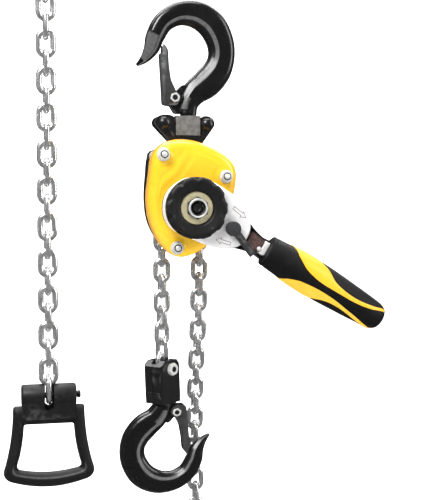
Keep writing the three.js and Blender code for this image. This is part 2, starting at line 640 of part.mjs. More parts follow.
function addSelector() {
  const at = { x: SELECTOR.u, z: SELECTOR.v };
  const disc = barY(5.3, -62, -57.2, at, 20);
  const arm = box(0, 23.5, -61.4, -58, -2.5, 2.5).rotate([0, 22, 0]).translate([at.x, 0, at.z]);
  const stem = barY(2.7, -58, ARM_BACK - 2.3, at, 16);
  add('selector', inLever(unite(disc, arm, stem)), 'plastic');
  const inner = 15.6;
  const pawl = outline([[inner + 1, 5], [inner + 0.6, 1.6], [at.x - 4, at.z - 3.4], [at.x + 3, at.z - 4.4],
    [at.x + 4, at.z + 3], [at.x - 2, at.z + 4.6]]);
  add('selector_pawl', inLever(cut(plate(pawl, -42.8, ARM_BACK - 2.4), barY(3, -80, 0, at, 16))), 'steel');
}

// ---------------------------------------------------------------- strands, block and lower hook
// The chain lies round the upper half of the sheave on the sides of an octagon, then falls free.
function addChains() {
  const quarter = (k) => (k % 2) * (Math.PI / 2);
  const over = [];
  for (let k = 0; k <= 4; k += 1) {
    const angle = Math.PI - (k * Math.PI) / 4;
    const place = { x: AXIS.x + APOTHEM * Math.cos(angle), z: AXIS.z + APOTHEM * Math.sin(angle) };
    over.push({ ...place, lean: Math.PI - angle, turn: quarter(k) });
  }
  for (let k = 1; k <= 2; k += 1) {
    over.push({ x: TAIL_X, z: AXIS.z - k * PITCH, turn: quarter(k) });
  }
  add('chain_over_sheave', strand(over), 'zinc');
  const load = [];
  for (let k = 1; k <= LOAD_LINKS; k += 1) {
    const play = k === 1 ? 1.4 : 0;
    const twist = (BLOCK_TURN * Math.max(0, k - 4)) / (LOAD_LINKS - 4);
    load.push({ x: LOAD_X, z: AXIS.z - k * PITCH + play, turn: quarter(k) + twist });
  }
  add('load_chain', strand(load), 'zinc');
  add('tail_chain', tube(new THREE.CatmullRomCurve3(tailRoute()), LINK_HALF_WIDTH, 54, 6), 'zinc');
}

// The free strand drops from the frame past the lower hook, returns in a wide bight, climbs, turns
// over and falls again to the end ring.
function tailRoute() {
  return [
    [TAIL_X, 0, -175], [TAIL_X, 1, -200], [TAIL_X, 6, -235], [TAIL_X, 13, -268], [TAIL_X, 16, -300],
    [TAIL_X, 16, -340], [TAIL_X, 14, -365], [TAIL_X - 3, 10, -385], [TAIL_X - 26, -3, -424], [-71, -36, -443],
    [-127, -67, -424], [RISER_X + 3, -85, -385], [RISER_X, -87, -350], [RISER_X, -87, -300],
    [RISER_X, -87, -240], [RISER_X, -87, -180], [RISER_X, -87, -120], [RISER_X, -87, -60],
    [RISER_X, -87, 0], [RISER_X, -87, 20], [RISER_X + 7, -87, 36], [RISER_X + 21.7, -87, 43],
    [RING.x - 7, -87, 36], [RING.x, -87, 20], [RING.x, -87, 0], [RING.x, -87, -60], [RING.x, -87, -120],
    [RING.x, -87, -180], [RING.x, -87, -220], [RING.x, -87, -251.2],
  ].map(([x, y, z]) => new THREE.Vector3(x, y, z));
}

// The block and the hook under it are drawn about the bolt, with the chain's line as local Z.
function lowerGroup() {
  const group = new THREE.Group();
  group.position.set(LOAD_X, 0, BOLT_Z);
  group.rotation.y = BLOCK_TILT;
  hoist.add(group);
  return group;
}

function addBlock(parent) {
  const group = new THREE.Group();
  group.rotation.z = BLOCK_TURN;
  parent.add(group);
  const top = 6.6;
  const low = -26.2;
  const half = outline([[-11, top - 4], [-6, top], [7, top], [12, top - 6], [13, low + 12], [9.6, low],
    [-9.6, low], [-13, low + 12]]);
  for (const [side, y0, y1] of [['front', -9, -0.2], ['rear', 0.2, 9]]) {
    const body = cut(
      plate(half, y0, y1, 1.6, 1),
      box(-7.4, 7.4, -2.8, 2.8, -8.4, top + 4),
      box(-2.8, 2.8, -7.4, 7.4, 1, top + 4),
      barZ(6.4, low + 1.6, -11, 0),
      barZ(4.7, low - 4, -12, 0),
      barY(2.4, -20, 20),
    );
    add(`block_${side}_half`, body, 'blackPaint', group);
  }
  const bolt = turnedY([[0, -13], [2.1, -13], [2.1, 9.3], [5, 9.3], [5, 12.3], [0, 12.3]], { x: 0, z: 0 }, 12);
  add('block_bolt', bolt, 'blackPaint', group);
  add('block_nut', nut(9.6, -12.6, -9.3, { x: 0, z: 0 }, 2.4), 'zinc', group);
}

function addLowerHook(parent) {
  const group = new THREE.Group();
  group.position.set(YOKE_X * LOWER_SCALE[0], 0, LOWER_SADDLE_Z - BOLT_Z);
  group.rotation.y = Math.PI;
  parent.add(group);
  addHook('load', group, -65.2, -60, LOWER_SCALE);
}

// ---------------------------------------------------------------- end ring
// A shape's points without the last one, which repeats the first.
function closed(shape) {
  return new THREE.Shape(shape.getPoints(3).slice(0, -1));
}

function addEndRing() {
  const shoulder = -6.4;
  const frame = new THREE.Shape();
  frame.moveTo(-21, shoulder);
  frame.lineTo(21, shoulder);
  frame.quadraticCurveTo(23, shoulder, 23, shoulder - 3);
  frame.quadraticCurveTo(23.4, -30, 29, -48);
  frame.quadraticCurveTo(30, -53, 25, -55.4);
  frame.quadraticCurveTo(0, -64, -25, -55.4);
  frame.quadraticCurveTo(-30, -53, -29, -48);
  frame.quadraticCurveTo(-23.4, -30, -23, shoulder - 3);
  frame.quadraticCurveTo(-23, shoulder, -21, shoulder);
  const hole = new THREE.Shape();
  hole.moveTo(-14.6, -18.8);
  hole.lineTo(14.6, -18.8);
  hole.quadraticCurveTo(16, -18.8, 16, -21);
  hole.quadraticCurveTo(17, -35, 20.4, -45);
  hole.quadraticCurveTo(20.4, -47.6, 18, -48);
  hole.quadraticCurveTo(0, -52, -18, -48);
  hole.quadraticCurveTo(-20.4, -47.6, -20.4, -45);
  hole.quadraticCurveTo(-17, -35, -16, -21);
  hole.quadraticCurveTo(-16, -18.8, -14.6, -18.8);
  const bar = cut(plate(closed(frame), -5, 5), plate(closed(hole), -6, 6))
    .scale([RING_SCALE, 1, RING_SCALE]);
  const barrel = turnedY([[0, -18], [7, -18], [7.6, -17.1], [7.6, 17.1], [7, 18], [0, 18]],
    { x: 0, z: 0 }, 14).rotate([0, 0, 90]);
  const web = box(-17.5, 17.5, -6, 6, -15, 0);
  const slot = box(-3.2, 3.2, -8, 8, -9.7, 9);
  const bore = barY(2.3, -30, 30, { x: 0, z: 0 }, 16).rotate([0, 0, 90]);
  const place = (body) => body.translate([RING.x, RING.y, RING.z]);
  add('end_ring', place(cut(unite(bar, barrel, web), slot, bore)), 'rubber');
  const pin = turnedY([[0, -17.8], [2, -17.8], [2, 18.9], [2.6, 19.3], [2.6, 20.5], [1.8, 21.1], [0, 21.1]],
    { x: 0, z: 0 }, 14).rotate([0, 0, -90]);
  add('end_ring_pin', place(pin), 'blackPaint');
}

// ---------------------------------------------------------------- assembly
addHook('top', hoist, -83, -66);
addYoke();
addFrame();
addBrakeCover();
addGearCover();
addStays();
addLoadSheave();
addChainStripper();
addIntermediateGears();
addDrive();
addPawls();
addHandWheel();
addLever();
addSelector();
addChains();
const lower = lowerGroup();
addBlock(lower);
addLowerHook(lower);
addEndRing();

export default hoist;
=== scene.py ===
"""Looks of a lever chain hoist, built round its CAD frame. Lengths in the builders are in mm."""
import random
from math import atan2, copysign, cos, exp, hypot, pi, radians, sin, sqrt, tan

import bmesh
import bpy
from mathutils import Matrix, Vector


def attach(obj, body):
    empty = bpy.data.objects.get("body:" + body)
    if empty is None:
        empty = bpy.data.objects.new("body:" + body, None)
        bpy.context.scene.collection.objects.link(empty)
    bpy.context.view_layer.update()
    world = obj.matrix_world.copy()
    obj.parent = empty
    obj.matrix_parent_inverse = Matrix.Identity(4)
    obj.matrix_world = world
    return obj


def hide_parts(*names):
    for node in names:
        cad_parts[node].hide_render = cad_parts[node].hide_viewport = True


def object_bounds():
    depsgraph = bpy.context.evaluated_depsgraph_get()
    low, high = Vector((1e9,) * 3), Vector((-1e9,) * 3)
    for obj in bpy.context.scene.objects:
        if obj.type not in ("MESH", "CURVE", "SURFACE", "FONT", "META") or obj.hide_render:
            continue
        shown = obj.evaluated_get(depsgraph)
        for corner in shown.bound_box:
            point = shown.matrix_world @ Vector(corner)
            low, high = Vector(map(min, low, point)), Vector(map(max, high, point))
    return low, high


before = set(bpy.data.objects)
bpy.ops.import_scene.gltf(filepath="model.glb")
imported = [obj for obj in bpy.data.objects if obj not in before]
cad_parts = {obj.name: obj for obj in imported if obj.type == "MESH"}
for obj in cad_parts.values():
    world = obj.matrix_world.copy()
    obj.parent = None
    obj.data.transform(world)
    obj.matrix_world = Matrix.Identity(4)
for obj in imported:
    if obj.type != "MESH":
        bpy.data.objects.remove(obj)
CAD_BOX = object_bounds()
SCENE = bpy.context.scene
MM = 0.001
RANDOM = random.Random(11)

# Dimensions in mm, measured from the saddle of the top hook.
AXIS = (-3.5, -136.5)
PITCH = 12
WIRE = 2
LINK_HALF_WIDTH = 6.7
APOTHEM = PITCH / (2 * tan(pi / 8))
LOAD_X = AXIS[0] - APOTHEM
TAIL_X = AXIS[0] + APOTHEM
LEVER_ANGLE = radians(-31)
LEVER_LINE = 1.6
BLOCK_TURN = radians(38)
BLOCK_TILT = radians(-2)
BOLT_Z = AXIS[1] - 10 * PITCH - 2.8
LOWER_SADDLE_Z = -339
LOWER_SCALE = (0.93, 0.9, 0.85)
RING = (-109.5, -87, -260.1)
RING_SCALE = 1.03
RISER_X = -153
STAYS = {"top": (-21.7, -97.9), "right": (25, -113.8), "bottom": (-11.8, -166.1)}
YOKE_PIN = (1, -97.5)
PAWLS = {"upper": (-24, -118), "lower": (6.5, -158)}
GEAR_LINE = radians(110)
GEAR_DISTANCE = 18
SHEAVE_TEETH, DISC_TEETH, PINION_TEETH, SHAFT_TEETH = 22, 24, 14, 12
RATCHET_RADIUS = 19.5
THROUGH = 40
STAY_HOLE = 3.3
PLATE_INNER, PLATE_OUTER = 10, 12.5


def polar(at, r, angle):
    return at[0] + r * cos(angle), at[1] + r * sin(angle)


GEAR_CENTRES = {"upper": polar(AXIS, GEAR_DISTANCE, GEAR_LINE),
                "lower": polar(AXIS, -GEAR_DISTANCE, GEAR_LINE)}

# ------------------------------------------------------------------ camera
CAMERA_AT = Vector((-0.1567, -0.7979, -0.1267))
LOOKS = Vector((0.2246, 0.9730, -0.0523))
camera_data = bpy.data.cameras.new("camera")
camera_data.lens, camera_data.sensor_width = 76.77, 36
camera_data.clip_start, camera_data.clip_end = 0.02, 20
camera = bpy.data.objects.new("camera", camera_data)
SCENE.collection.objects.link(camera)
camera.location = CAMERA_AT
camera.rotation_mode = "QUATERNION"
camera.rotation_quaternion = LOOKS.to_track_quat("-Z", "Y")
SCENE.camera = camera


# ------------------------------------------------------------------ materials
class Nodes:
    """A material's node tree with short ways to add the nodes used here."""

    def __init__(self, name):
        self.material = bpy.data.materials.new(name)
        self.material.use_nodes = True
        self.tree = self.material.node_tree
        self.shader = self.tree.nodes["Principled BSDF"]
        self.coords = self.tree.nodes.new("ShaderNodeTexCoord").outputs["Object"]

    def link(self, source, socket):
        self.tree.links.new(source, socket)

    def noise(self, scale, detail=3.0, stretch=None):
        node = self.tree.nodes.new("ShaderNodeTexNoise")
        node.inputs["Scale"].default_value = scale
        node.inputs["Detail"].default_value = detail
        source = self.coords
        if stretch:
            mapping = self.tree.nodes.new("ShaderNodeMapping")
            mapping.inputs["Scale"].default_value = stretch
            self.link(self.coords, mapping.inputs["Vector"])
            source = mapping.outputs["Vector"]
        self.link(source, node.inputs["Vector"])
        return node.outputs["Fac"]

    def remap(self, value, low, high, to_low, to_high):
        node = self.tree.nodes.new("ShaderNodeMapRange")
        for i, number in enumerate((low, high, to_low, to_high)):
            node.inputs[i + 1].default_value = number
        self.link(value, node.inputs["Value"])
        return node.outputs["Result"]

    def math(self, operation, a, b):
        node = self.tree.nodes.new("ShaderNodeMath")
        node.operation = operation
        for socket, value in zip(node.inputs, (a, b)):
            if isinstance(value, (int, float)):
                socket.default_value = value
            else:
                self.link(value, socket)
        return node.outputs[0]

    def mix(self, factor, a, b):
        node = self.tree.nodes.new("ShaderNodeMix")
        node.data_type = "RGBA"
        self.link(factor, node.inputs[0])
        for socket, value in ((node.inputs[6], a), (node.inputs[7], b)):
            if isinstance(value, tuple):
                socket.default_value = (*value, 1)
            else:
                self.link(value, socket)
        return node.outputs[2]

    def attribute(self, name):
        node = self.tree.nodes.new("ShaderNodeAttribute")
        node.attribute_name = name
        return node.outputs["Fac"]

    def pointiness(self):
        return self.tree.nodes.new("ShaderNodeNewGeometry").outputs["Pointiness"]

    def bump(self, height, strength, distance=0.0004):
        node = self.tree.nodes.new("ShaderNodeBump")
        node.inputs["Strength"].default_value = strength
        node.inputs["Distance"].default_value = distance
        self.link(height, node.inputs["Height"])
        self.link(node.outputs["Normal"], self.shader.inputs["Normal"])


def shade_of(colour, factor):
    return tuple(min(1.0, c * factor) for c in colour)


def surface(name, colour, rough, metallic=0.0, mottle=0.15, grain=220, bump=0.12, bump_scale=700,
            stretch=None, coat=0.0, painted_highlight=None, painted_shade=None, wear_and_highlight=None, specular=0.5):
    """A finish: mottled colour, uneven gloss, fine bump and, where given, a painted highlight, a painted
    shade and a patchy colour on convex edges.
    """
    n = Nodes(name)
    mottled = n.remap(n.noise(grain, 4), 0.3, 0.7, 0, 1)
    base = n.mix(mottled, shade_of(colour, 1 - mottle), shade_of(colour, 1 + mottle))
    gloss = n.remap(n.noise(grain * 0.35, 5, stretch), 0.3, 0.7, rough[0], rough[1])
    # Painted shade: where the painted_shade attribute is set, the colour turns a deeper orange.
    if painted_shade:
        base = n.mix(n.attribute("painted_shade"), base, painted_shade)
    # Painted highlight: where the painted_highlight attribute is set, the colour turns lighter and the gloss
    # duller.
    if painted_highlight:
        amount = n.math("MULTIPLY", n.attribute("painted_highlight"), n.remap(n.noise(420, 4), 0.25, 0.6, 0.6, 1))
        base = n.mix(amount, base, painted_highlight)
        gloss = n.math("ADD", gloss, n.math("MULTIPLY", amount, 0.18))
    # Convex edges, in patches, take the wear_and_highlight colour: edge wear on most finishes, a painted
    # highlight along the ridges of the yellow enamel.
    if wear_and_highlight:
        edge = n.remap(n.pointiness(), 0.53, 0.62, 0, 1)
        patchy = n.remap(n.noise(260, 5), 0.45, 0.62, 0, 0.8)
        base = n.mix(n.math("MULTIPLY", edge, patchy), base, wear_and_highlight)
    n.link(base, n.shader.inputs["Base Color"])
    n.link(gloss, n.shader.inputs["Roughness"])
    n.bump(n.noise(bump_scale, 4, stretch), bump)
    n.shader.inputs["Metallic"].default_value = metallic
    n.shader.inputs["Coat Weight"].default_value = coat
    n.shader.inputs["Coat Roughness"].default_value = 0.12
    n.shader.inputs["Specular IOR Level"].default_value = specular
    return n.material


FINISH = {
    "forged_black": surface("forged_black_enamel", (0.003, 0.003, 0.0034), (0.2, 0.34), bump=0.3,
        bump_scale=330, coat=0.25, painted_highlight=(0.11, 0.11, 0.11), wear_and_highlight=(0.09, 0.09, 0.09), specular=0.4),
    "black_paint": surface("black_paint", (0.005, 0.005, 0.0055), (0.22, 0.36), bump=0.16, bump_scale=800,
        coat=0.2, painted_highlight=(0.11, 0.11, 0.115), wear_and_highlight=(0.12, 0.12, 0.12), specular=0.4),
    # Yellow enamel: deeper orange where painted shade is marked, paler yellow on convex edges as a painted
    # highlight.
    "yellow_paint": surface("yellow_enamel", (0.93, 0.56, 0.022), (0.2, 0.34), mottle=0.04, grain=60,
        bump=0.06, bump_scale=420, coat=0.3, painted_shade=(0.8, 0.33, 0.01), wear_and_highlight=(0.95, 0.72, 0.2)),
    "zinc_plate": surface("zinc_plate", (0.86, 0.86, 0.83), (0.3, 0.46), metallic=0.6, mottle=0.12,
        bump=0.1, bump_scale=900),
    "chain_steel": surface("bright_chain_steel", (0.82, 0.82, 0.82), (0.16, 0.3), metallic=0.92,
        mottle=0.18, grain=300, bump=0.16, bump_scale=520),
    "chrome": surface("satin_chrome", (0.97, 0.95, 0.95), (0.3, 0.46), metallic=0.45, mottle=0.05,
        grain=900, bump=0.12, bump_scale=1500, wear_and_highlight=(0.6, 0.58, 0.57)),
    "machined_steel": surface("machined_steel", (0.5, 0.5, 0.51), (0.22, 0.42), metallic=0.95, mottle=0.14,
        bump=0.14, bump_scale=500, stretch=(1, 6, 1)),
    "dark_steel": surface("dark_satin_steel", (0.06, 0.06, 0.062), (0.3, 0.46), metallic=0.6, mottle=0.2,
        grain=320, bump=0.14, bump_scale=600, painted_highlight=(0.3, 0.3, 0.3), wear_and_highlight=(0.34, 0.34, 0.34)),
    "brass": surface("pale_yellow_passivate", (0.83, 0.74, 0.46), (0.24, 0.46), metallic=0.6, mottle=0.14,
        grain=240, bump=0.2, bump_scale=380),
    "grip_rubber": surface("moulded_rubber", (0.004, 0.004, 0.0045), (0.46, 0.62), mottle=0.2, bump=0.25,
        bump_scale=1300, specular=0.22),
    # Yellow inlay: deeper orange where painted shade is marked.
    "grip_yellow": surface("yellow_inlay", (0.8, 0.44, 0.012), (0.36, 0.5), mottle=0.05, bump=0.16,
        bump_scale=1300, painted_shade=(0.85, 0.4, 0.01)),
    "black_plastic": surface("black_nylon", (0.007, 0.007, 0.0075), (0.36, 0.52), mottle=0.2, grain=420,
        bump=0.3, bump_scale=1100, painted_highlight=(0.12, 0.12, 0.12), wear_and_highlight=(0.05, 0.05, 0.05), specular=0.28),
    "grey_forging": surface("satin_grey_forging", (0.16, 0.16, 0.155), (0.34, 0.5), metallic=0.35,
        mottle=0.16, grain=260, bump=0.25, bump_scale=500, wear_and_highlight=(0.4, 0.4, 0.4)),
    "charcoal": surface("charcoal_casting", (0.026, 0.026, 0.028), (0.42, 0.6), metallic=0.2, mottle=0.2,
        grain=420, bump=0.3, bump_scale=900, wear_and_highlight=(0.14, 0.14, 0.14)),
    # Brown-black and strongly mottled: painted shade for the shadowed inside of the lever's channel at its
    # neck.
    "brown_neck": surface("brown_shadow_paint", (0.085, 0.045, 0.04), (0.4, 0.66), metallic=0.35, mottle=0.5,
        grain=520, bump=0.7, bump_scale=700, stretch=(1, 1, 2.4)),
    "brake_lining": surface("pressed_lining", (0.2, 0.14, 0.1), (0.75, 0.9), mottle=0.4, grain=900,
        bump=0.5),
    # Dark lines that sit in the chrome casing's grooves: painted shade.
    "groove_shadow": surface("dark_groove_paint", (0.24, 0.2, 0.21), (0.5, 0.7), metallic=0.4, mottle=0.3,
        grain=900),
    # Near-black, whatever the metal: painted shade for the parts that sit deep in bores.
    "bore": surface("bore_shadow_paint", (0.012, 0.012, 0.013), (0.35, 0.5), metallic=0.4, bump=0.3),
}


# ------------------------------------------------------------------ mesh building
def shift(by):
    return Matrix.Translation(by)


def spin(degrees, axis):
    return Matrix.Rotation(radians(degrees), 4, axis)


def catmull(p0, p1, p2, p3, f):
    return tuple(0.5 * (2 * b + (c - a) * f + (2 * a - 5 * b + 4 * c - d) * f * f
                        + (3 * b - a - 3 * c + d) * f ** 3)
                 for a, b, c, d in zip(p0, p1, p2, p3))


def smooth_step(low, high, value):
    f = min(1, max(0, (value - low) / (high - low)))
    return f * f * (3 - 2 * f)


def smooth_loop(points, count):
    size = len(points)
    out = []
    for i in range(count):
        k, f = divmod(i * size / count, 1)
        out.append(catmull(*(points[(int(k) + j - 1) % size] for j in range(4)), f))
    return out


def smooth_line(points, t):
    """The point at t, from 0 to 1, on the curve through the points."""
    last = len(points) - 1
    k = min(int(t * last), last - 1)
    pick = [points[min(max(k + j - 1, 0), last)] for j in range(4)]
    return catmull(*pick, t * last - k)


def fillet(points, radius, steps=4):
    """The outline with its corners rounded."""
    out = []
    size = len(points)
    for i, corner in enumerate(points):
        c = Vector(corner)
        before, after = Vector(points[i - 1]) - c, Vector(points[(i + 1) % size]) - c
        a = c + before.normalized() * min(radius, before.length * 0.45)
        b = c + after.normalized() * min(radius, after.length * 0.45)
        for k in range(steps + 1):
            f = k / steps
            out.append(tuple(a * (1 - f) ** 2 + c * 2 * f * (1 - f) + b * f * f))
    return out


def inset(points, by):
    cx = sum(p[0] for p in points) / len(points)
    cz = sum(p[1] for p in points) / len(points)
    out = []
    for x, z in points:
        reach = hypot(x - cx, z - cz)
        keep = (reach - by) / reach
        out.append((cx + (x - cx) * keep, cz + (z - cz) * keep))
    return out


def edited(mesh, change):
    """Runs change on the mesh's bmesh and writes it back."""
    bm = bmesh.new()
    bm.from_mesh(mesh)
    change(bm)
    bm.to_mesh(mesh)
    bm.free()


def solid(points, faces, values=None):
    """A mesh object from points in mm. values are one list of numbers per named vertex attribute."""
    mesh = bpy.data.meshes.new("piece")
    mesh.from_pydata([Vector(p) * MM for p in points], [], faces)
    for key, numbers in (values or {}).items():
        mesh.attributes.new(key, "FLOAT", "POINT").data.foreach_set("value", numbers)
    obj = bpy.data.objects.new("piece", mesh)
    SCENE.collection.objects.link(obj)

    def clean(bm):
        bmesh.ops.remove_doubles(bm, verts=bm.verts, dist=2e-6)
        bmesh.ops.dissolve_degenerate(bm, edges=bm.edges, dist=1e-7)
        bmesh.ops.recalc_face_normals(bm, faces=bm.faces)

    edited(mesh, clean)
    return obj


def rings(loops, wrap=False, values=None):
    """A skin over loops of equal length. wrap joins the last loop to the first, else both ends are capped."""
    size = len(loops[0])
    points = [p for loop in loops for p in loop]
    faces = []
    count = len(loops)
    for i in range(count if wrap else count - 1):
        a, b = i * size, ((i + 1) % count) * size
        for j in range(size):
            k = (j + 1) % size
            faces.append((a + j, a + k, b + k, b + j))
    if not wrap:
        faces.append(tuple(range(size)))
        faces.append(tuple(reversed(range((count - 1) * size, count * size))))
    return solid(points, faces, values)


def prism(outline, y0, y1):
    return rings([[(x, y, z) for x, z in outline] for y in (y0, y1)])


def block(x0, x1, y0, y1, z0, z1):
    return prism([(x0, z0), (x1, z0), (x1, z1), (x0, z1)], y0, y1)


def circle(r, count=48, at=(0, 0), phase=0.0):
    return [polar(at, r, phase + 2 * pi * i / count) for i in range(count)]


def bar_y(r, y0, y1, at=(0, 0), count=48):
    return prism(circle(r, count, at), y0, y1)


def turned(profile, at=(0, 0), count=64):
    """Turned about Y through at. The profile of (radius, y) is a loop, or runs from axis to axis."""
    closed = profile[0][0] > 0
    loops = [[(at[0] + r * cos(a), y, at[1] + r * sin(a))
              for a in (2 * pi * i / count for i in range(count))] for r, y in profile]
    if closed:
        return rings(loops, wrap=True)
    obj = rings(loops)

    def open_caps(bm):
        flat = [f for f in bm.faces if len(f.verts) > 4 and f.calc_area() < 1e-12]
        bmesh.ops.delete(bm, geom=flat, context="FACES_ONLY")

    edited(obj.data, open_caps)
    return obj


def place(obj, matrix):
    """Moves the mesh by a matrix whose translation is in mm."""
    scaled = matrix.copy()
    scaled.translation = matrix.translation * MM
    obj.data.transform(scaled)
    if scaled.determinant() < 0:
        obj.data.flip_normals()
    return obj


def combine(base, *others, how="DIFFERENCE"):
    for other in others:
        for solver in ("MANIFOLD", "EXACT"):
            modifier = base.modifiers.new("combine", "BOOLEAN")
            modifier.operation, modifier.solver, modifier.object = how, solver, other
            bpy.context.view_layer.update()
            made = bpy.data.meshes.new_from_object(base.evaluated_get(bpy.context.evaluated_depsgraph_get()))
            base.modifiers.clear()
            if len(made.polygons) > 3:
                base.data = made
                break
        bpy.data.objects.remove(other)
    return base


def joined(objects):
    """One object that holds the meshes of several."""
    bm = bmesh.new()
    for obj in objects:
        bm.from_mesh(obj.data)
    mesh = bpy.data.meshes.new("piece")
    bm.to_mesh(mesh)
    bm.free()
    for obj in objects:
        bpy.data.objects.remove(obj)
    made = bpy.data.objects.new("piece", mesh)
    SCENE.collection.objects.link(made)
    return made


def piece(obj, name, finish, body, *nodes, slot=None, bevel=0.3, segments=2, angle=30, subdivide=0):
    """Shades, bevels and dresses a mesh, and rides it on its body in place of its CAD nodes."""
    obj.name = name

    def shade(bm):
        for face in bm.faces:
            face.smooth = True
            face.material_index = 0
        for edge in bm.edges:
            edge.smooth = len(edge.link_faces) == 2 and edge.calc_face_angle(0) < radians(angle)

    edited(obj.data, shade)
    obj.data.materials.clear()
    obj.data.materials.append(FINISH[finish])
    if bevel:
        modifier = obj.modifiers.new("edges", "BEVEL")
        modifier.width, modifier.segments = bevel * MM, segments
        modifier.limit_method, modifier.angle_limit = "ANGLE", radians(angle)
        modifier.harden_normals = True
    if subdivide:
        modifier = obj.modifiers.new("round", "SUBSURF")
        modifier.levels = modifier.render_levels = subdivide
    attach(obj, body)
    if nodes:
        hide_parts(*nodes)
    return obj


def lever_matrix():
    return shift((AXIS[0], 0, AXIS[1])) @ Matrix.Rotation(-LEVER_ANGLE, 4, "Y")


def lower_matrix():
    return shift((LOAD_X, 0, BOLT_Z)) @ Matrix.Rotation(BLOCK_TILT, 4, "Y")


def hex_nut(across, y0, y1, at, bore, turn=0.0):
    """A hexagon nut with turned corners. across is measured over the corners."""
    r = across / 2
    body = prism(circle(r, 6, at, turn), y0, y1)
    lift = r * 0.12
    form = turned([(0, y0), (r * 0.88, y0), (r * 1.01, y0 + lift), (r * 1.01, y1 - lift), (r * 0.88, y1),
                   (0, y1)], at)
    combine(body, form, how="INTERSECT")
    return combine(body, bar_y(bore, y0 - 2, y1 + 2, at, 32))


# ------------------------------------------------------------------ hooks
HOOK_STATIONS = [
    (1, -66, 8), (2.4, -58, 8.1), (8, -49.5, 9.8), (17, -42.4, 11.3), (24.6, -33.6, 11),
    (28.4, -23, 10.3), (27.4, -11, 10.6), (20.6, 1.6, 11.1), (9, 8.8, 10.4), (-4.4, 9, 8.9),
    (-15.8, 2.6, 7.8), (-22.2, -7.8, 7.2), (-25.2, -17, 6), (-28.6, -22.8, 4.4), (-32.2, -26.8, 2.9),
    (-36, -29.8, 1.4),
]
# Half of the section, from the inner edge to the outer one: across, thickness, how strongly the painted
# highlight along the ridge shows.
HOOK_SECTION = [
    (1, 0, 0), (0.985, 0.24, 0), (0.93, 0.44, 0), (0.83, 0.6, 0), (0.7, 0.7, 0), (0.58, 0.77, 0.05),
    (0.54, 0.8, 1), (0.44, 0.87, 1), (0.33, 0.955, 1), (0.29, 0.975, 0.05), (0.2, 0.99, 0), (0, 1, 0),
    (-0.25, 1, 0), (-0.5, 0.985, 0), (-0.7, 0.9, 0), (-0.85, 0.72, 0), (-0.95, 0.45, 0), (-0.99, 0.22, 0),
    (-1, 0, 0),
]
HOOK_HALF_THICK = 7
HOOK_STEPS, HOOK_TIP_STEPS = 130, 3
NOSE_FROM, NOSE_TO = 0.735, 0.93
LATCH_PIVOT = (-8.8, -54.3)


def hook_mesh(shank_end, neck_z, faceted):
    """The bow with its shank, collar and latch lug. faceted gives its nose a flat with a painted highlight.
    """
    stations = [s for i, s in enumerate(HOOK_STATIONS) if i > 0 or s[1] > neck_z - 1]
    loops, painted_highlight = [], []
    section = [(c, -h, w) for c, h, w in HOOK_SECTION]
    section += [(c, h, w) for c, h, w in reversed(HOOK_SECTION[1:-1])]
    for i in range(HOOK_STEPS + HOOK_TIP_STEPS + 1):
        t = min(i / HOOK_STEPS, 1.0)
        past = max(0, i - HOOK_STEPS)
        x, z, width = smooth_line(stations, t)
        x1, z1, _ = smooth_line(stations, min(1, t + 0.004))
        x0, z0, _ = smooth_line(stations, max(0, t - 0.004))
        along = Vector((x1 - x0, z1 - z0)).normalized()
        thick = HOOK_HALF_THICK * min(1, (1 - t) * 3.4 + 0.1)
        shrink = sqrt(max(0, 1 - (past / (HOOK_TIP_STEPS + 0.02)) ** 2))
        x, z = x + along.x * past * 0.35, z + along.y * past * 0.35
        loop = []
        nose = faceted and NOSE_FROM < t < NOSE_TO
        for across, lift, wear_and_highlight in section:
            facet = nose and -0.86 < across < 0.24
            lift = copysign(min(abs(lift), 0.86), lift) if facet else lift
            reach = across * width * shrink
            loop.append((x - along.y * reach, lift * thick * shrink, z + along.x * reach))
            # Painted highlight: a light band along the bow's ridge, over the nose's flat and down the neck.
            neck = 1 if t < 0.09 and 0.1 < across < 0.6 else 0
            painted_highlight.append(max(wear_and_highlight, 0.85 if facet else 0, 0.8 * neck))
        loops.append(loop)
    bow = rings(loops, values={"painted_highlight": painted_highlight})
    shank = turned([(0, shank_end - 3.4), (5.5, shank_end - 3.4), (5.9, shank_end - 3), (5.9, shank_end),
                    (4.6, shank_end), (4.6, neck_z + 4), (0, neck_z + 4)], (1, 0))
    place(shank, shift((1, 0, 0)) @ spin(90, "X") @ shift((-1, 0, 0)))
    foot = max(-66, neck_z - 2.4)
    web = prism(fillet([(-2.2, -44.2), (4, -46), (4, foot), (-8.2, foot), (-12.2, -59.4), (-13.2, -54),
                        (-8, -50.6)], 1.6), -4, 4)
    collar = turned([(0, foot), (6.8, foot), (7.4, foot + 0.6), (7.4, neck_z + 3), (0, neck_z + 3)])
    place(collar, shift((1, 0, 0)) @ spin(90, "X"))
    combine(bow, shank, bar_y(5.4, -4, 4, LATCH_PIVOT), web, collar, how="UNION")
    flats = [bar_y(7.4, 4.6, 11.8, LATCH_PIVOT), bar_y(7.4, -11.8, -4.6, LATCH_PIVOT)]
    return combine(bow, *flats, bar_y(2, -9, 9, LATCH_PIVOT, 24))


LATCH_EARS = [
    (-19.6, -20.6), (-18.4, -14.6), (-16.6, -14.2), (-13.6, -18.6), (-13.2, -29), (-11.6, -41),
    (-7.6, -49.6), (-4.4, -52), (-4.2, -56.5), (-8, -60.4), (-17, -59.4),
]
LATCH_INSIDE = [(-17.4, -21.4), (-22, -21.4), (-22, -10), (-8, -10), (2, -40), (2, -66), (-15.2, -66)]


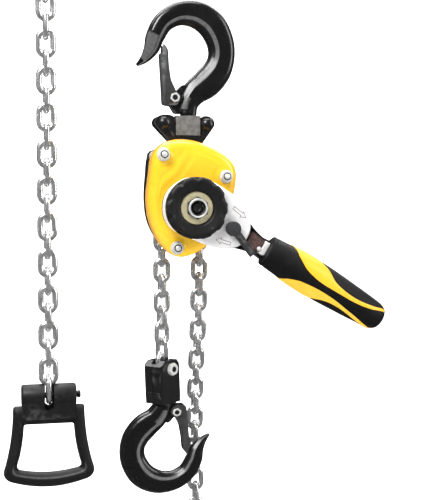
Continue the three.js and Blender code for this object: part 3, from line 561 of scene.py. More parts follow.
def latch_mesh():
    """A folded sheet: two cheeks, a spine with a slanted fold on each side, and the pin's holes."""
    body = prism(fillet(LATCH_EARS, 2.2), -6.4, 6.4)
    combine(body, prism(LATCH_INSIDE, -4.4, 4.4), bar_y(2, -9, 9, LATCH_PIVOT, 24))
    for side in (-1, 1):
        wedge = block(-40, 0, min(0, side * 30), max(0, side * 30), -80, 80)
        combine(body, place(wedge, shift((-15.3, side * 6.4, -38)) @ spin(3.4, "Y") @ spin(side * 30, "Z")))
    return body


def coil(radius, wire, turns, y0, y1, at, legs):
    """A torsion spring about the Y direction with two straight legs."""
    path = [Vector(legs[0])]
    steps = int(turns * 20)
    for i in range(steps + 1):
        a = 2 * pi * i / 20
        path.append(Vector((at[0] + radius * cos(a), y0 + (y1 - y0) * i / steps, at[1] + radius * sin(a))))
    path.append(Vector(legs[1]))
    return wire_mesh(path, wire)


def wire_mesh(path, radius, sides=8):
    loops = []
    normal = None
    for i, p in enumerate(path):
        along = (path[min(i + 1, len(path) - 1)] - path[max(i - 1, 0)]).normalized()
        if normal is None:
            normal = along.orthogonal().normalized()
        normal = (normal - along * normal.dot(along)).normalized()
        across = along.cross(normal)
        loops.append([tuple(p + radius * (normal * cos(a) + across * sin(a)))
                      for a in (2 * pi * k / sides for k in range(sides))])
    return rings(loops)


def add_hook(prefix, hook_body, latch_body, matrix, shank_end, neck_z, faceted):
    def made(obj, *rest, **extra):
        return piece(place(obj, matrix), *rest, **extra)

    made(hook_mesh(shank_end, neck_z, faceted), f"{prefix}_hook_forging", "forged_black", hook_body,
         f"{prefix}_hook", bevel=0)
    made(latch_mesh(), f"{prefix}_latch_sheet", "dark_steel", latch_body, f"{prefix}_latch", bevel=0.45,
         segments=3)
    nut = hex_nut(7.4, -8.7, -6.7, LATCH_PIVOT, 2.1, 0.3)
    rear = turned([(0, 6.7), (3, 6.7), (3, 7.4), (2.2, 8.1), (0, 8.3)], LATCH_PIVOT)
    made(joined([nut, rear]), f"{prefix}_latch_nut", "zinc_plate", hook_body, f"{prefix}_latch_pin",
         bevel=0.15)
    stud = turned([(0, -8.5), (1.3, -8.5), (1.7, -8.2), (1.7, 7), (0, 7)], LATCH_PIVOT, 32)
    made(stud, f"{prefix}_latch_stud", "bore", hook_body, slot="black_paint", bevel=0)
    x, z = LATCH_PIVOT
    spring = coil(2.9, 0.45, 4, -3.2, 3.2, LATCH_PIVOT, [(x + 4, -3.2, z - 5.5), (x - 4.4, 3.2, z + 9)])
    made(spring, f"{prefix}_latch_spring", "zinc_plate", latch_body, bevel=0)


# ------------------------------------------------------------------ yoke
YOKE_OUTLINE = [
    (-24.6, -74), (-23, -69), (-18, -67), (-9.4, -68), (-9.4, -83.5), (11.4, -83.5), (11.4, -68),
    (16, -67.8), (20.4, -70), (21.6, -75), (11, -90), (9.6, -102), (5, -105.5), (-3, -105.5),
    (-7.6, -102), (-9, -90),
]
RIVETS = {"left": (-17.2, -73.4), "right": (15.8, -74.2)}


def slope_edge(body, a, b, face, width, drop, centre):
    """Cuts a slope along the edge from a to b of a plate whose outer face is at y = face."""
    a, b = Vector(a), Vector(b)
    along = (b - a).normalized()
    out = Vector((-along.y, along.x))
    if out.dot(a - Vector(centre)) < 0:
        out = -out
    inward = -1 if face > 0 else 1
    tri = [(-width, face), (1.5, face + inward * drop * (width + 1.5) / width), (1.5, face - inward),
           (-width, face - inward)]
    ends = [a - along * 1.2, b + along * 1.2]
    loops = [[(e.x + out.x * q, y, e.y + out.y * q) for q, y in tri] for e in ends]
    return combine(body, rings(loops))


def rivet_holes():
    return [bar_y(2.6, -12, 12, at, 32) for at in RIVETS.values()]


def add_yoke():
    for side, y0, y1 in (("front", -9.2, -6.2), ("rear", 6.2, 9.2)):
        plate = prism(fillet(YOKE_OUTLINE, 3.2, 6), y0, y1)
        combine(plate, *rivet_holes(), bar_y(4.1, -12, 12, YOKE_PIN))
        outer = y0 if side == "front" else y1
        slope_edge(plate, (-23.4, -78), (-10.6, -91.4), outer, 3.4, 1.7, (1, -84))
        slope_edge(plate, (20.6, -78.6), (12.4, -90.4), outer, 3.4, 1.7, (1, -84))
        piece(plate, f"yoke_{side}_cheek", "black_paint", "yoke", f"yoke_{side}_plate", bevel=0.7, segments=3)
    block_body = block(-8.3, 10.3, -8.6, 8.6, -82.6, -67.9)
    upright = shift((1, 0, 0)) @ spin(90, "X")
    combine(block_body, place(bar_y(4.9, -95, -60), upright))
    arms = prism([(-21.8, -68.8), (-23.2, -73.8), (-10.4, -88.2), (-8, -88.2), (-8, -79.5), (10, -79.5),
                  (10, -88.2), (12, -88.2), (20.2, -74.8), (19.2, -69)], -5.8, 5.8)
    combine(arms, place(bar_y(8, -95, -60), upright))
    piece(combine(block_body, *rivet_holes()), "yoke_swivel_block", "grey_forging", "yoke", "yoke_block",
          slot="dark_steel", bevel=1.1, segments=4)
    piece(combine(arms, *rivet_holes()), "yoke_block_arms", "black_paint", "yoke", slot="dark_steel",
          bevel=0.3)
    for side, at in RIVETS.items():
        dome = [(0, 12), (1.6, 11.85), (3, 11.3), (4, 10.6), (4.7, 9.9), (4.9, 9.5), (2.3, 9.5)]
        profile = [(r, -y) for r, y in dome] + list(reversed(dome))
        piece(turned(profile, at, 48), f"yoke_rivet_{side}_domed", "black_paint", "yoke",
              f"yoke_rivet_{side}", bevel=0)


# ------------------------------------------------------------------ frame and covers
COVER_OUTLINE = [
    (-8, -86.2), (7.1, -88.5), (24.1, -96.5), (33.9, -108.5), (32.2, -128), (24.1, -149), (10, -166.5),
    (-8, -173.3), (-21.2, -165), (-29.7, -149), (-32.5, -131), (-30.6, -112), (-28, -97.5), (-20, -89),
]
PLATE_OUTLINE = [
    (-8, -88), (8, -90), (23, -97.5), (31.5, -108.5), (30, -128), (22, -147), (8, -164.5), (-8, -172),
    (-19.5, -163), (-27.5, -148), (-30, -131), (-29, -112), (-27, -98), (-19, -91),
]
COVER_FACE = -29.5
COVER_BACK = -12.8
COVER_HOLE = 11
COVER_ROUND = 7
# The pressed swirl starts at the top and turns down round the left of the hand wheel.
SWIRL = [
    (-2, -90), (-4.8, -98.5), (-8.1, -103.5), (-13, -111), (-20.9, -117.4), (-26, -124), (-28, -131),
    (-28.6, -138), (-27.4, -145.5), (-24.4, -152), (-19, -158),
]
SWIRL_STEPS = 60
SWIRL_LINE = [Vector(smooth_line(SWIRL, i / SWIRL_STEPS)) for i in range(SWIRL_STEPS + 1)]


def cover_relief(x, z):
    """How far the pressing stands out of the cover's flat face, in mm."""
    here = Vector((x, z))
    near = min(range(SWIRL_STEPS + 1), key=lambda i: (SWIRL_LINE[i] - here).length_squared)
    step = SWIRL_LINE[min(near + 1, SWIRL_STEPS)] - SWIRL_LINE[max(near - 1, 0)]
    side = step.x * (z - SWIRL_LINE[near].y) - step.y * (x - SWIRL_LINE[near].x)
    distance = copysign((SWIRL_LINE[near] - here).length, side)
    ends = smooth_step(0, 8, near) * (1 - smooth_step(SWIRL_STEPS - 10, SWIRL_STEPS, near))
    wave = cos(2 * pi * distance / 8.4) * (1 - smooth_step(5, 10, abs(distance)))
    relief = 0.3 * ends * wave + 0.4 * smooth_step(-4, 7, distance)
    for at in STAYS.values():
        away = hypot(x - at[0], z - at[1])
        relief = relief * smooth_step(5.6, 8.6, away) + 0.55 * (1 - smooth_step(5.6, 7.4, away))
        relief -= 0.35 * exp(-((away - 8.4) / 1.3) ** 2)
    return relief


def add_brake_cover():
    count = 220
    rim = smooth_loop(COVER_OUTLINE, count)
    loops, painted_shade = [], []

    def towards_axis(x, z):
        return polar(AXIS, COVER_HOLE, atan2(z - AXIS[1], x - AXIS[0]))

    def ring(points, y, shade):
        loops.append([(x, y, z) for x, z in points])
        painted_shade.extend([shade] * count)

    # Painted shade: the wall and rounded rim, and the hole's edge, are given a deeper orange than the face.
    ring(rim, COVER_BACK, 0.8)
    ring(rim, -22.6, 0.75)
    for k in range(9):
        a = radians(90 * k / 8)
        ring(inset(rim, COVER_ROUND * (1 - cos(a))), COVER_FACE + COVER_ROUND * (1 - sin(a)) - 0.05,
             0.7 - 0.08 * k)
    edge = inset(rim, COVER_ROUND)
    steps = 56
    for k in range(1, steps + 1):
        q = k / steps
        loop = []
        for x, z in edge:
            to_x, to_z = towards_axis(x, z)
            px, pz = x + (to_x - x) * q, z + (to_z - z) * q
            relief = cover_relief(px, pz) * smooth_step(0, 0.1, q) * (1 - smooth_step(0.8, 0.95, q))
            loop.append((px, COVER_FACE - relief, pz))
            # Painted shade on the face: deeper orange in the pressing's dips and towards the right-hand side.
            painted_shade.append(0.06 + 0.22 * max(0, -relief) + 0.25 * smooth_step(6, 16, px - 12) * (1 - q))
        loops.append(loop)
    hole = [towards_axis(x, z) for x, z in edge]
    ring(hole, COVER_FACE + 1.6, 0.5)
    ring(inset(rim, 8), COVER_FACE + 1.6, 0.5)
    ring(inset(rim, 3), -25, 0.5)
    ring(inset(rim, 1.6), -20, 0.5)
    ring(inset(rim, 1.6), COVER_BACK, 0.5)
    piece(rings(loops, wrap=True, values={"painted_shade": painted_shade}), "brake_cover_pressing", "yellow_paint", "frame",
          "brake_cover", bevel=0, angle=50)


def gear_case_outline(r, count=24):
    upper, lower = GEAR_CENTRES["upper"], GEAR_CENTRES["lower"]
    out = []
    for at, start in ((upper, GEAR_LINE - pi / 2), (lower, GEAR_LINE + pi / 2)):
        out += [polar(at, r, start + pi * i / count) for i in range(count + 1)]
    return out


def add_gear_cover():
    rounded = [(15.4 - 4 * (1 - cos(radians(a))), 25 + 4 * sin(radians(a))) for a in (20, 40, 60, 78, 90)]
    profile = [(15.4, 12.8), (15.4, 25), *rounded, (9.6, 29), (9.2, 28.7), (8.8, 28.2), (6, 28.2),
               (5.4, 28.6), (4.8, 28.6)]
    cover = rings([[(x, y, z) for x, z in gear_case_outline(r)] for r, y in profile])
    for name, stay in (("upper", "top"), ("lower", "bottom")):
        a, b = Vector(STAYS[stay]), Vector(GEAR_CENTRES[name])
        n = Vector((-(b - a).y, (b - a).x)).normalized() * 5
        ear = prism([tuple(a + n), tuple(a - n), tuple(b - n), tuple(b + n)], 12.8, 15.8)
        combine(cover, bar_y(5, 12.8, 15.8, STAYS[stay]), ear, how="UNION")
    inner = rings([[(x, y, z) for x, z in gear_case_outline(r)]
                   for r, y in ((13.8, 12), (13.8, 24.8), (11.4, 27.4))])
    combine(cover, inner, *[bar_y(STAY_HOLE, 0, THROUGH, STAYS[s]) for s in ("top", "bottom")])
    piece(cover, "gear_cover_pressing", "black_paint", "frame", "gear_cover", bevel=0.35)


def add_frame():
    for side, y0, y1 in (("front", -PLATE_OUTER, -PLATE_INNER), ("rear", PLATE_INNER, PLATE_OUTER)):
        plate = prism(smooth_loop(PLATE_OUTLINE, 110), y0, y1)
        holes = [bar_y(9.1, -THROUGH, THROUGH, AXIS), bar_y(4.1, -THROUGH, THROUGH, YOKE_PIN)]
        holes += [bar_y(STAY_HOLE, -THROUGH, THROUGH, at) for at in STAYS.values()]
        if side == "rear":
            holes += [bar_y(STAY_HOLE, -THROUGH, THROUGH, at) for at in GEAR_CENTRES.values()]
        else:
            holes += [bar_y(2.3, -THROUGH, THROUGH, at) for at in PAWLS.values()]
        combine(plate, *holes)
        piece(plate, f"{side}_side_plate_blank", "black_paint", "frame", f"{side}_side_plate", bevel=0.35)
        ring = turned([(7.9, y0 + 0.1), (8.8, y0 + 0.1), (8.8, y1 - 0.1), (7.9, y1 - 0.1)], AXIS)
        piece(ring, f"{side}_bearing_bush", "brass", "frame", f"{side}_bearing", bevel=0.15)
    pin = turned([(0, -12.4), (3.3, -12.4), (3.8, -11.9), (3.8, 11.9), (3.3, 12.4), (0, 12.4)], YOKE_PIN)
    piece(pin, "suspension_pin_turned", "machined_steel", "frame", "suspension_pin", bevel=0)
    stripper = block(-8.6, 1.6, -8.6, 9.7, -168, -158.4)
    nose = prism(fillet([(-6.2, -158.6), (-0.8, -158.6), (-0.8, -151.6), (-6.2, -151.6)], 2), -2, 2)
    combine(stripper, nose, how="UNION")
    piece(stripper, "chain_stripper_block", "dark_steel", "frame", "chain_stripper", bevel=0.6, segments=3)


def add_stays():
    for place_name, at in STAYS.items():
        r = 2.8
        thread = [(q, y + 0.5 * k) for k in range(4) for q, y in ((2.1, -35.2), (1.85, -34.95))]
        front = [(0, -36.3), (1.4, -36.2), (1.9, -35.9), (2.1, -35.5), *thread, (2.1, -32.8), (r, -32),
                 (r, -9.7), (4.2, -9.7)]
        if place_name == "bottom":
            profile = [*front, (4.2, -9), (0, -9)]
        else:
            rear = 12.8 + (3.3 if place_name == "top" else 0)
            profile = [*front, (4.2, 9.7), (r, 9.7), (r, rear), (5, rear), (5, rear + 2.2), (4.4, rear + 3),
                       (0, rear + 3)]
        piece(turned(profile, at, 48), f"stay_bolt_{place_name}_turned", "zinc_plate", "frame",
              f"stay_bolt_{place_name}", bevel=0.1)
        washer = turned([(3.1, -31.4), (4.7, -31.4), (4.9, -31.2), (4.9, -30.4), (3.1, -30.4)], at)
        nut = hex_nut(8.6, -35.2, -31.4, at, 2.9, 0.25)
        # A near-black ring of painted shadow inside the nut's bore, round the bolt's end.
        shadow_ring = turned([(2.15, -34.9), (3.1, -34.9), (3.1, -33.4), (2.15, -33.4)], at)
        piece(shadow_ring, f"stay_nut_{place_name}_insert", "black_plastic", "frame", bevel=0)
        piece(joined([washer, nut]), f"stay_nut_{place_name}_chamfered", "zinc_plate", "frame",
              f"stay_nut_{place_name}", bevel=0.15)


# ------------------------------------------------------------------ gear train and brake
def gear_outline(teeth, phase, at):
    step = 2 * pi / teeth
    flanks = [(-0.5, -1.3), (-0.27, -1.25), (-0.19, -0.5), (-0.14, 0.3), (-0.07, 0.9), (0.07, 0.9),
              (0.14, 0.3), (0.19, -0.5), (0.27, -1.25)]
    return [polar(at, teeth / 2 + h, phase + step * (i + turn)) for i in range(teeth) for turn, h in flanks]


def ratchet_outline(radius, teeth, at):
    out = []
    for i in range(teeth):
        a = 2 * pi * i / teeth
        b = 2 * pi * (i + 0.2) / teeth
        for angle, r in ((a, radius), (b, radius), (b + 0.06, 0.84 * radius)):
            out.append(polar(at, r, angle))
    return out


def add_gears():
    groove = [(19.4, 8.8), (20, 8.4), (20, 7.6), (19.4, 7.3), (12.8, 7.1), (12, 6.6), (12, 2.9), (11.4, 2.6),
              (7.9, 2.5), (7.3, 2)]
    sheave = turned([(4.6, -12.2), (7.6, -12.2), (7.6, -8.8), *((r, -y) for r, y in groove), *groove[::-1],
                     (7.6, 8.8), (7.6, 20), (4.6, 20)], AXIS, 72)
    for k in range(4):
        for side in (-1, 1):
            low = min(side * 3.4, side * 7.6)
            tooth = block(10.6, 15.6, low, low + 4.2, -1.3, 1.3)
            turn = shift((AXIS[0], 0, AXIS[1])) @ spin(90 * k, "Y")
            combine(sheave, place(tooth, turn), how="UNION")
    piece(sheave, "load_sheave_cast", "machined_steel", "sheave", "load_sheave", bevel=0.3)
    wheel = combine(prism(gear_outline(SHEAVE_TEETH, GEAR_LINE, AXIS), 13.4, 19.2), bar_y(7.9, 10, 24, AXIS))
    piece(wheel, "load_gear_cut", "machined_steel", "sheave", "load_gear", bevel=0.15)
    for name, at in GEAR_CENTRES.items():
        towards = GEAR_LINE + (pi if name == "upper" else 0)
        large = prism(gear_outline(DISC_TEETH, towards + pi / DISC_TEETH, at), 20.4, 24)
        combine(large, prism(gear_outline(PINION_TEETH, towards + pi / PINION_TEETH, at), 13.4, 20.6),
                turned([(0, 10.2), (2.6, 10.2), (3, 10.6), (3, 26.6), (2.6, 27), (0, 27)], at), how="UNION")
        piece(large, f"disc_gear_{name}_cut", "machined_steel", f"disc_gear_{name}", f"disc_gear_{name}",
              bevel=0.15)
    shaft = turned([(0, -64), (3.5, -64), (4, -63.5), (4, 26.5), (3.5, 27), (0, 27)], AXIS)
    combine(shaft, prism(gear_outline(SHAFT_TEETH, GEAR_LINE, AXIS), 20.2, 24.4), how="UNION")
    piece(shaft, "drive_shaft_turned", "machined_steel", "drive", "drive_shaft", bevel=0.15)
    hub = turned([(4.3, -33), (6, -33), (6, -16.6), (16.2, -16.6), (16.5, -16.3), (16.5, -14), (4.3, -14)],
                 AXIS)
    piece(hub, "brake_hub_turned", "machined_steel", "drive", "brake_hub", bevel=0.2)
    for side, y0, y1 in (("rear", -18.2, -16.9), ("front", -23.2, -21.9)):
        ring = turned([(6.4, y0), (16, y0), (16, y1), (6.4, y1)], AXIS)
        piece(ring, f"friction_disc_{side}_lining", "brake_lining", "drive", f"friction_disc_{side}",
              bevel=0.1)
    disc = combine(prism(ratchet_outline(RATCHET_RADIUS, 15, AXIS), -21.6, -18.5), bar_y(6.4, -40, 0, AXIS))
    piece(disc, "ratchet_disc_cut", "machined_steel", "drive", "ratchet_disc", bevel=0.2)
    hub = turned([(6.4, -23.5), (6.4, -33.6), (4.3, -33.6), (4.3, -57), (8, -57), (8, -26.4), (16.5, -26.4),
                  (16.5, -23.5)], AXIS)
    wheel = combine(prism(ratchet_outline(15, 12, AXIS), -43, -38), bar_y(7.5, -60, 0, AXIS))
    combine(hub, wheel, how="UNION")
    piece(hub, "lever_ratchet_cut", "machined_steel", "drive", "lever_ratchet", bevel=0.2)
    for name, at in PAWLS.items():
        towards = atan2(AXIS[1] - at[1], AXIS[0] - at[0])
        reach = hypot(AXIS[1] - at[1], AXIS[0] - at[0]) - RATCHET_RADIUS - 0.8
        nose = prism(fillet([(-1, 3.6), (reach, 2), (reach, -1.4), (-1, -3.6)], 0.7), -21.4, -18.6)
        combine(nose, bar_y(3.8, -21.4, -18.6), how="UNION")
        place(nose, shift((at[0], 0, at[1])) @ Matrix.Rotation(-towards, 4, "Y"))
        combine(nose, bar_y(2.3, -30, 0, at, 32))
        piece(nose, f"brake_pawl_{name}_cut", "machined_steel", f"brake_pawl_{name}", f"brake_pawl_{name}",
              bevel=0.2)
        pin = turned([(0, -24), (2.8, -24), (3.4, -23.5), (3.4, -21.8), (2, -21.8), (2, -10.2), (0, -10.2)],
                     at, 32)
        piece(pin, f"pawl_pin_{name}_turned", "machined_steel", "frame", f"pawl_pin_{name}", bevel=0)


# ------------------------------------------------------------------ hand wheel
WHEEL_RADIUS, WHEEL_LOBES = 21.6, 10


def add_hand_wheel():
    count = 200

    def scallop(angle):
        return WHEEL_RADIUS + 0.75 * cos(WHEEL_LOBES * angle) - 0.35 * cos(2 * WHEEL_LOBES * angle)

    def rim_loop(shrink, y):
        flat = (polar(AXIS, scallop(a) - shrink, a) for a in (2 * pi * i / count for i in range(count)))
        return [(x, y, z) for x, z in flat]

    rim = [(1, -60.6), (0.3, -60.9), (0, -61.5), (0, -63.6), (0.35, -64.6), (1.1, -65.3), (2.2, -65.6)]
    plain = [(18.2, -65.45), (16.4, -65), (14.4, -64.6), (13, -64.4), (12.4, -64), (12, -63.2), (12, -61.4),
             (4.3, -61.4), (4.3, -57.4), (21, -57.4), (21.7, -57.7), (22, -58.3), (22, -59.6), (21.6, -60.3),
             (20.6, -60.6)]
    loops = [rim_loop(shrink, y) for shrink, y in rim]
    loops += [[(x, y, z) for x, z in circle(r, count, AXIS)] for r, y in plain]
    piece(rings(loops, wrap=True), "hand_wheel_moulded", "black_plastic", "drive", "hand_wheel", bevel=0,
          angle=40)
    washer = turned([(4.3, -62.3), (10.6, -62.5), (11.3, -62.4), (11.6, -62.1), (11.6, -61.7), (4.3, -61.7)],
                    AXIS, 96)
    piece(washer, "wheel_washer_turned", "brass", "drive", "wheel_washer", bevel=0)
    piece(hex_nut(16.4, -66.2, -62.8, AXIS, 5.2, 0.5), "wheel_nut_chamfered", "charcoal", "drive",
          "wheel_nut", slot="dark_steel", bevel=0.25)
    ring = turned([(5.5, -67.1), (5.9, -67.6), (6.5, -67.6), (6.9, -67.1), (6.9, -65.6), (5.5, -65.6)], AXIS,
                  96)
    piece(ring, "wheel_nut_bright_ring", "zinc_plate", "drive", bevel=0)
    # The nut's thread and the shaft's end below take the near-black bore colour: painted shade in the nut's
    # bore.
    bore = [(r, y + 0.5 * k) for k in range(5) for r, y in ((5.1, -66.9), (4.75, -66.65))]
    thread = turned([(5.5, -64.1), (5.5, -67), *bore, (4.4, -64.3), (4.3, -64.1)], AXIS, 64)
    piece(thread, "wheel_nut_thread", "bore", "drive", slot="dark_steel", bevel=0)
    stud = turned([(0, -64.6), (1.6, -64.6), (2.2, -65), (3.2, -65), (3.9, -64.5), (3.9, -62), (0, -62)],
                  AXIS, 64)
    piece(stud, "drive_shaft_end", "bore", "drive", slot="machined_steel", bevel=0.1)


# ------------------------------------------------------------------ lever
CASING = [
    (-16, 15), (-4, 21.6), (9, 23), (26, 21.6), (37, 16), (43, 8), (44, -1), (41, -8), (33, -14.6),
    (24, -17.6), (10, -19.6), (-6, -20.8), (-17, -14), (-22, 0),
]
ARM = [
    (-15, 14), (-4, 20), (10, 21.4), (26, 19.6), (38, 15), (47, 10.8), (56, 8.6), (66, 8), (66, -5),
    (56, -5.6), (44, -8.6), (33, -13.6), (22, -16.8), (8, -18.6), (-6, -19.4), (-15.6, -13), (-20.4, 0),
]
SELECTOR = (31, 1.2)
ARROWS = {"drive": ((23.6, 14.6), (35.6, 12.9)), "release": ((35.3, -8.8), (24.1, -11.6))}
GRIP_Y = -48
GRIP_PROFILE = [
    (62.6, 10.4), (62.7, 11.2), (63.2, 11.7), (64.2, 12), (65.2, 11.95), (65.8, 11.55), (66.4, 12),
    (70, 12.3), (76, 12.8), (82, 13.4), (90, 13.85), (98, 14.1), (106, 14.15), (114, 14), (126, 13.35),
    (138, 12.6), (148, 11.85), (156, 11.2), (160, 10.7), (163, 9.6), (165, 8), (166.3, 5), (166.8, 2),
]


def arrow_outline(tail, tip, half=1.25, head=4.2, barb=2.7):
    along = Vector(tip) - Vector(tail)
    length = along.length
    along.normalize()
    side = Vector((-along.y, along.x))
    shape = [(0, half), (length - head, half), (length - head, barb), (length, 0), (length - head, -barb),
             (length - head, -half), (0, -half)]
    return [tuple(Vector(tail) + along * a + side * b) for a, b in shape]


def shrunk(outline, by):
    """The outline moved inwards by a distance, for shapes with straight sides."""
    out = []
    size = len(outline)
    for i in range(size):
        p, a, b = (Vector(outline[k % size]) for k in (i, i - 1, i + 1))
        e, f = (p - a).normalized(), (b - p).normalized()
        n, m = Vector((e.y, -e.x)), Vector((f.y, -f.x))
        bisector = (n + m).normalized()
        out.append(tuple(p + bisector * by / max(0.35, bisector.dot(n))))
    return out


def on_lever(obj, name, finish, *nodes, body="lever", **extra):
    """A piece built along the lever's own line, turned to where the lever hangs."""
    return piece(place(obj, lever_matrix()), name, finish, body, *nodes, **extra)


def grip_radius(u):
    table = GRIP_PROFILE
    if u <= table[0][0]:
        return table[0][1]
    for (a, ra), (b, rb) in zip(table, table[1:]):
        if u <= b:
            f = (u - a) / (b - a)
            return ra + (rb - ra) * f
    return table[-1][1]


def grip_point(u, degrees, lift=0.0):
    """A point on the grip; degrees run from the front over the upper edge."""
    a = radians(degrees)
    r = grip_radius(u) + lift
    return (u, GRIP_Y - r * cos(a), LEVER_LINE + r * sin(a))


# Edges of the yellow inlays: distance along the grip, degrees from the front towards the nearer edge.
UPPER_INNER = [
    (76.5, 90), (79.6, 66), (84, 35), (92, 11), (101, 0), (110, -4), (119, -3.5), (127, -3), (136, -2),
    (145, 3), (153.6, 13), (160, 27), (163, 35),
]
UPPER_OUTER = [
    (76.5, 90), (98, 90), (104, 64), (109, 49), (115, 27), (120.6, 18), (129, 13), (137.6, 12.5),
    (146.6, 18), (154, 27), (159, 38), (163, 48),
]
LOWER_INNER = [
    (79.5, 90), (84.6, 55), (92, 36), (98.6, 30), (105.6, 26.5), (114.6, 26), (124.6, 29), (135, 37),
    (146, 48), (156.6, 66), (162, 80),
]
LOWER_OUTER = [
    (79.5, 90), (106, 90), (110, 71), (115, 55), (121.6, 47.5), (129, 47), (137.6, 53), (147.6, 67),
    (154, 80), (157.5, 90), (162, 90),
]
GRIP_RINGS, GRIP_SIDES = 150, 96
INLAY_ROWS, INLAY_COLUMNS, INLAY_LIFT = 80, 14, 0.28


def edge_at(edge, u):
    k = next(n for n in range(len(edge) - 1) if u <= edge[n + 1][0] + 1e-6)
    f = (u - edge[k][0]) / (edge[k + 1][0] - edge[k][0])
    return min(90, catmull(*[edge[min(max(k + j - 1, 0), len(edge) - 1)][1:] for j in range(4)], f)[0])


def add_grip():
    start, end = GRIP_PROFILE[0][0], GRIP_PROFILE[-1][0]
    loops = []
    for i in range(GRIP_RINGS):
        u = start + (end - start) * i / (GRIP_RINGS - 1)
        loops.append([grip_point(u, 360 * k / GRIP_SIDES, -0.25) for k in range(GRIP_SIDES)])
    skin = rings(loops)
    socket = block(50, 121, -52, -45.9, LEVER_LINE - 4.4, LEVER_LINE + 4.4)
    tang = block(50, 70, -46.1, -32, LEVER_LINE - 7.8, LEVER_LINE + 7.6)
    combine(skin, socket, tang)
    on_lever(skin, "lever_grip_rubber", "grip_rubber", "lever_grip", bevel=0)
    inlays = []
    for sign in (1, -1):
        first, second = (UPPER_INNER, UPPER_OUTER) if sign > 0 else (LOWER_INNER, LOWER_OUTER)
        for mirror in (False, True):
            rows, cols = INLAY_ROWS, INLAY_COLUMNS
            top, under, painted_shade = [], [], []
            for i in range(rows + 1):
                u = first[0][0] + (first[-1][0] - first[0][0]) * i / rows
                inner, outer = edge_at(first, u), edge_at(second, u)
                for j in range(cols + 1):
                    s = j / cols
                    angle = inner + (outer - inner) * s
                    angle = 180 - angle if mirror else angle
                    at_seam = outer > 89.5 and s > 0.5
                    dome = INLAY_LIFT if at_seam else INLAY_LIFT * sqrt(max(0, 1 - (2 * s - 1) ** 4))
                    top.append(grip_point(u, sign * angle, dome - 0.08))
                    under.append(grip_point(u, sign * angle, -1.2))
                    # Painted shade: the inlays turn a deeper orange towards the grip's upper and lower sides.
                    painted_shade.append(0.55 * smooth_step(50, 90, angle if angle < 90 else 180 - angle))
            w = cols + 1
            n = len(top)
            faces = []
            for i in range(rows):
                for j in range(cols):
                    a = i * w + j
                    faces.append((a, a + 1, a + w + 1, a + w))
                    faces.append((n + a, n + a + w, n + a + w + 1, n + a + 1))
                for edge in (i * w, i * w + cols):
                    faces.append((edge, edge + w, n + edge + w, n + edge))
            for j in range(cols):
                for row in (0, rows * w):
                    faces.append((row + j, row + j + 1, n + row + j + 1, n + row + j))
            inlays.append(solid(top + under, faces, {"painted_shade": painted_shade + painted_shade}))
    on_lever(joined(inlays), "lever_grip_inlays", "grip_yellow", bevel=0, angle=60)


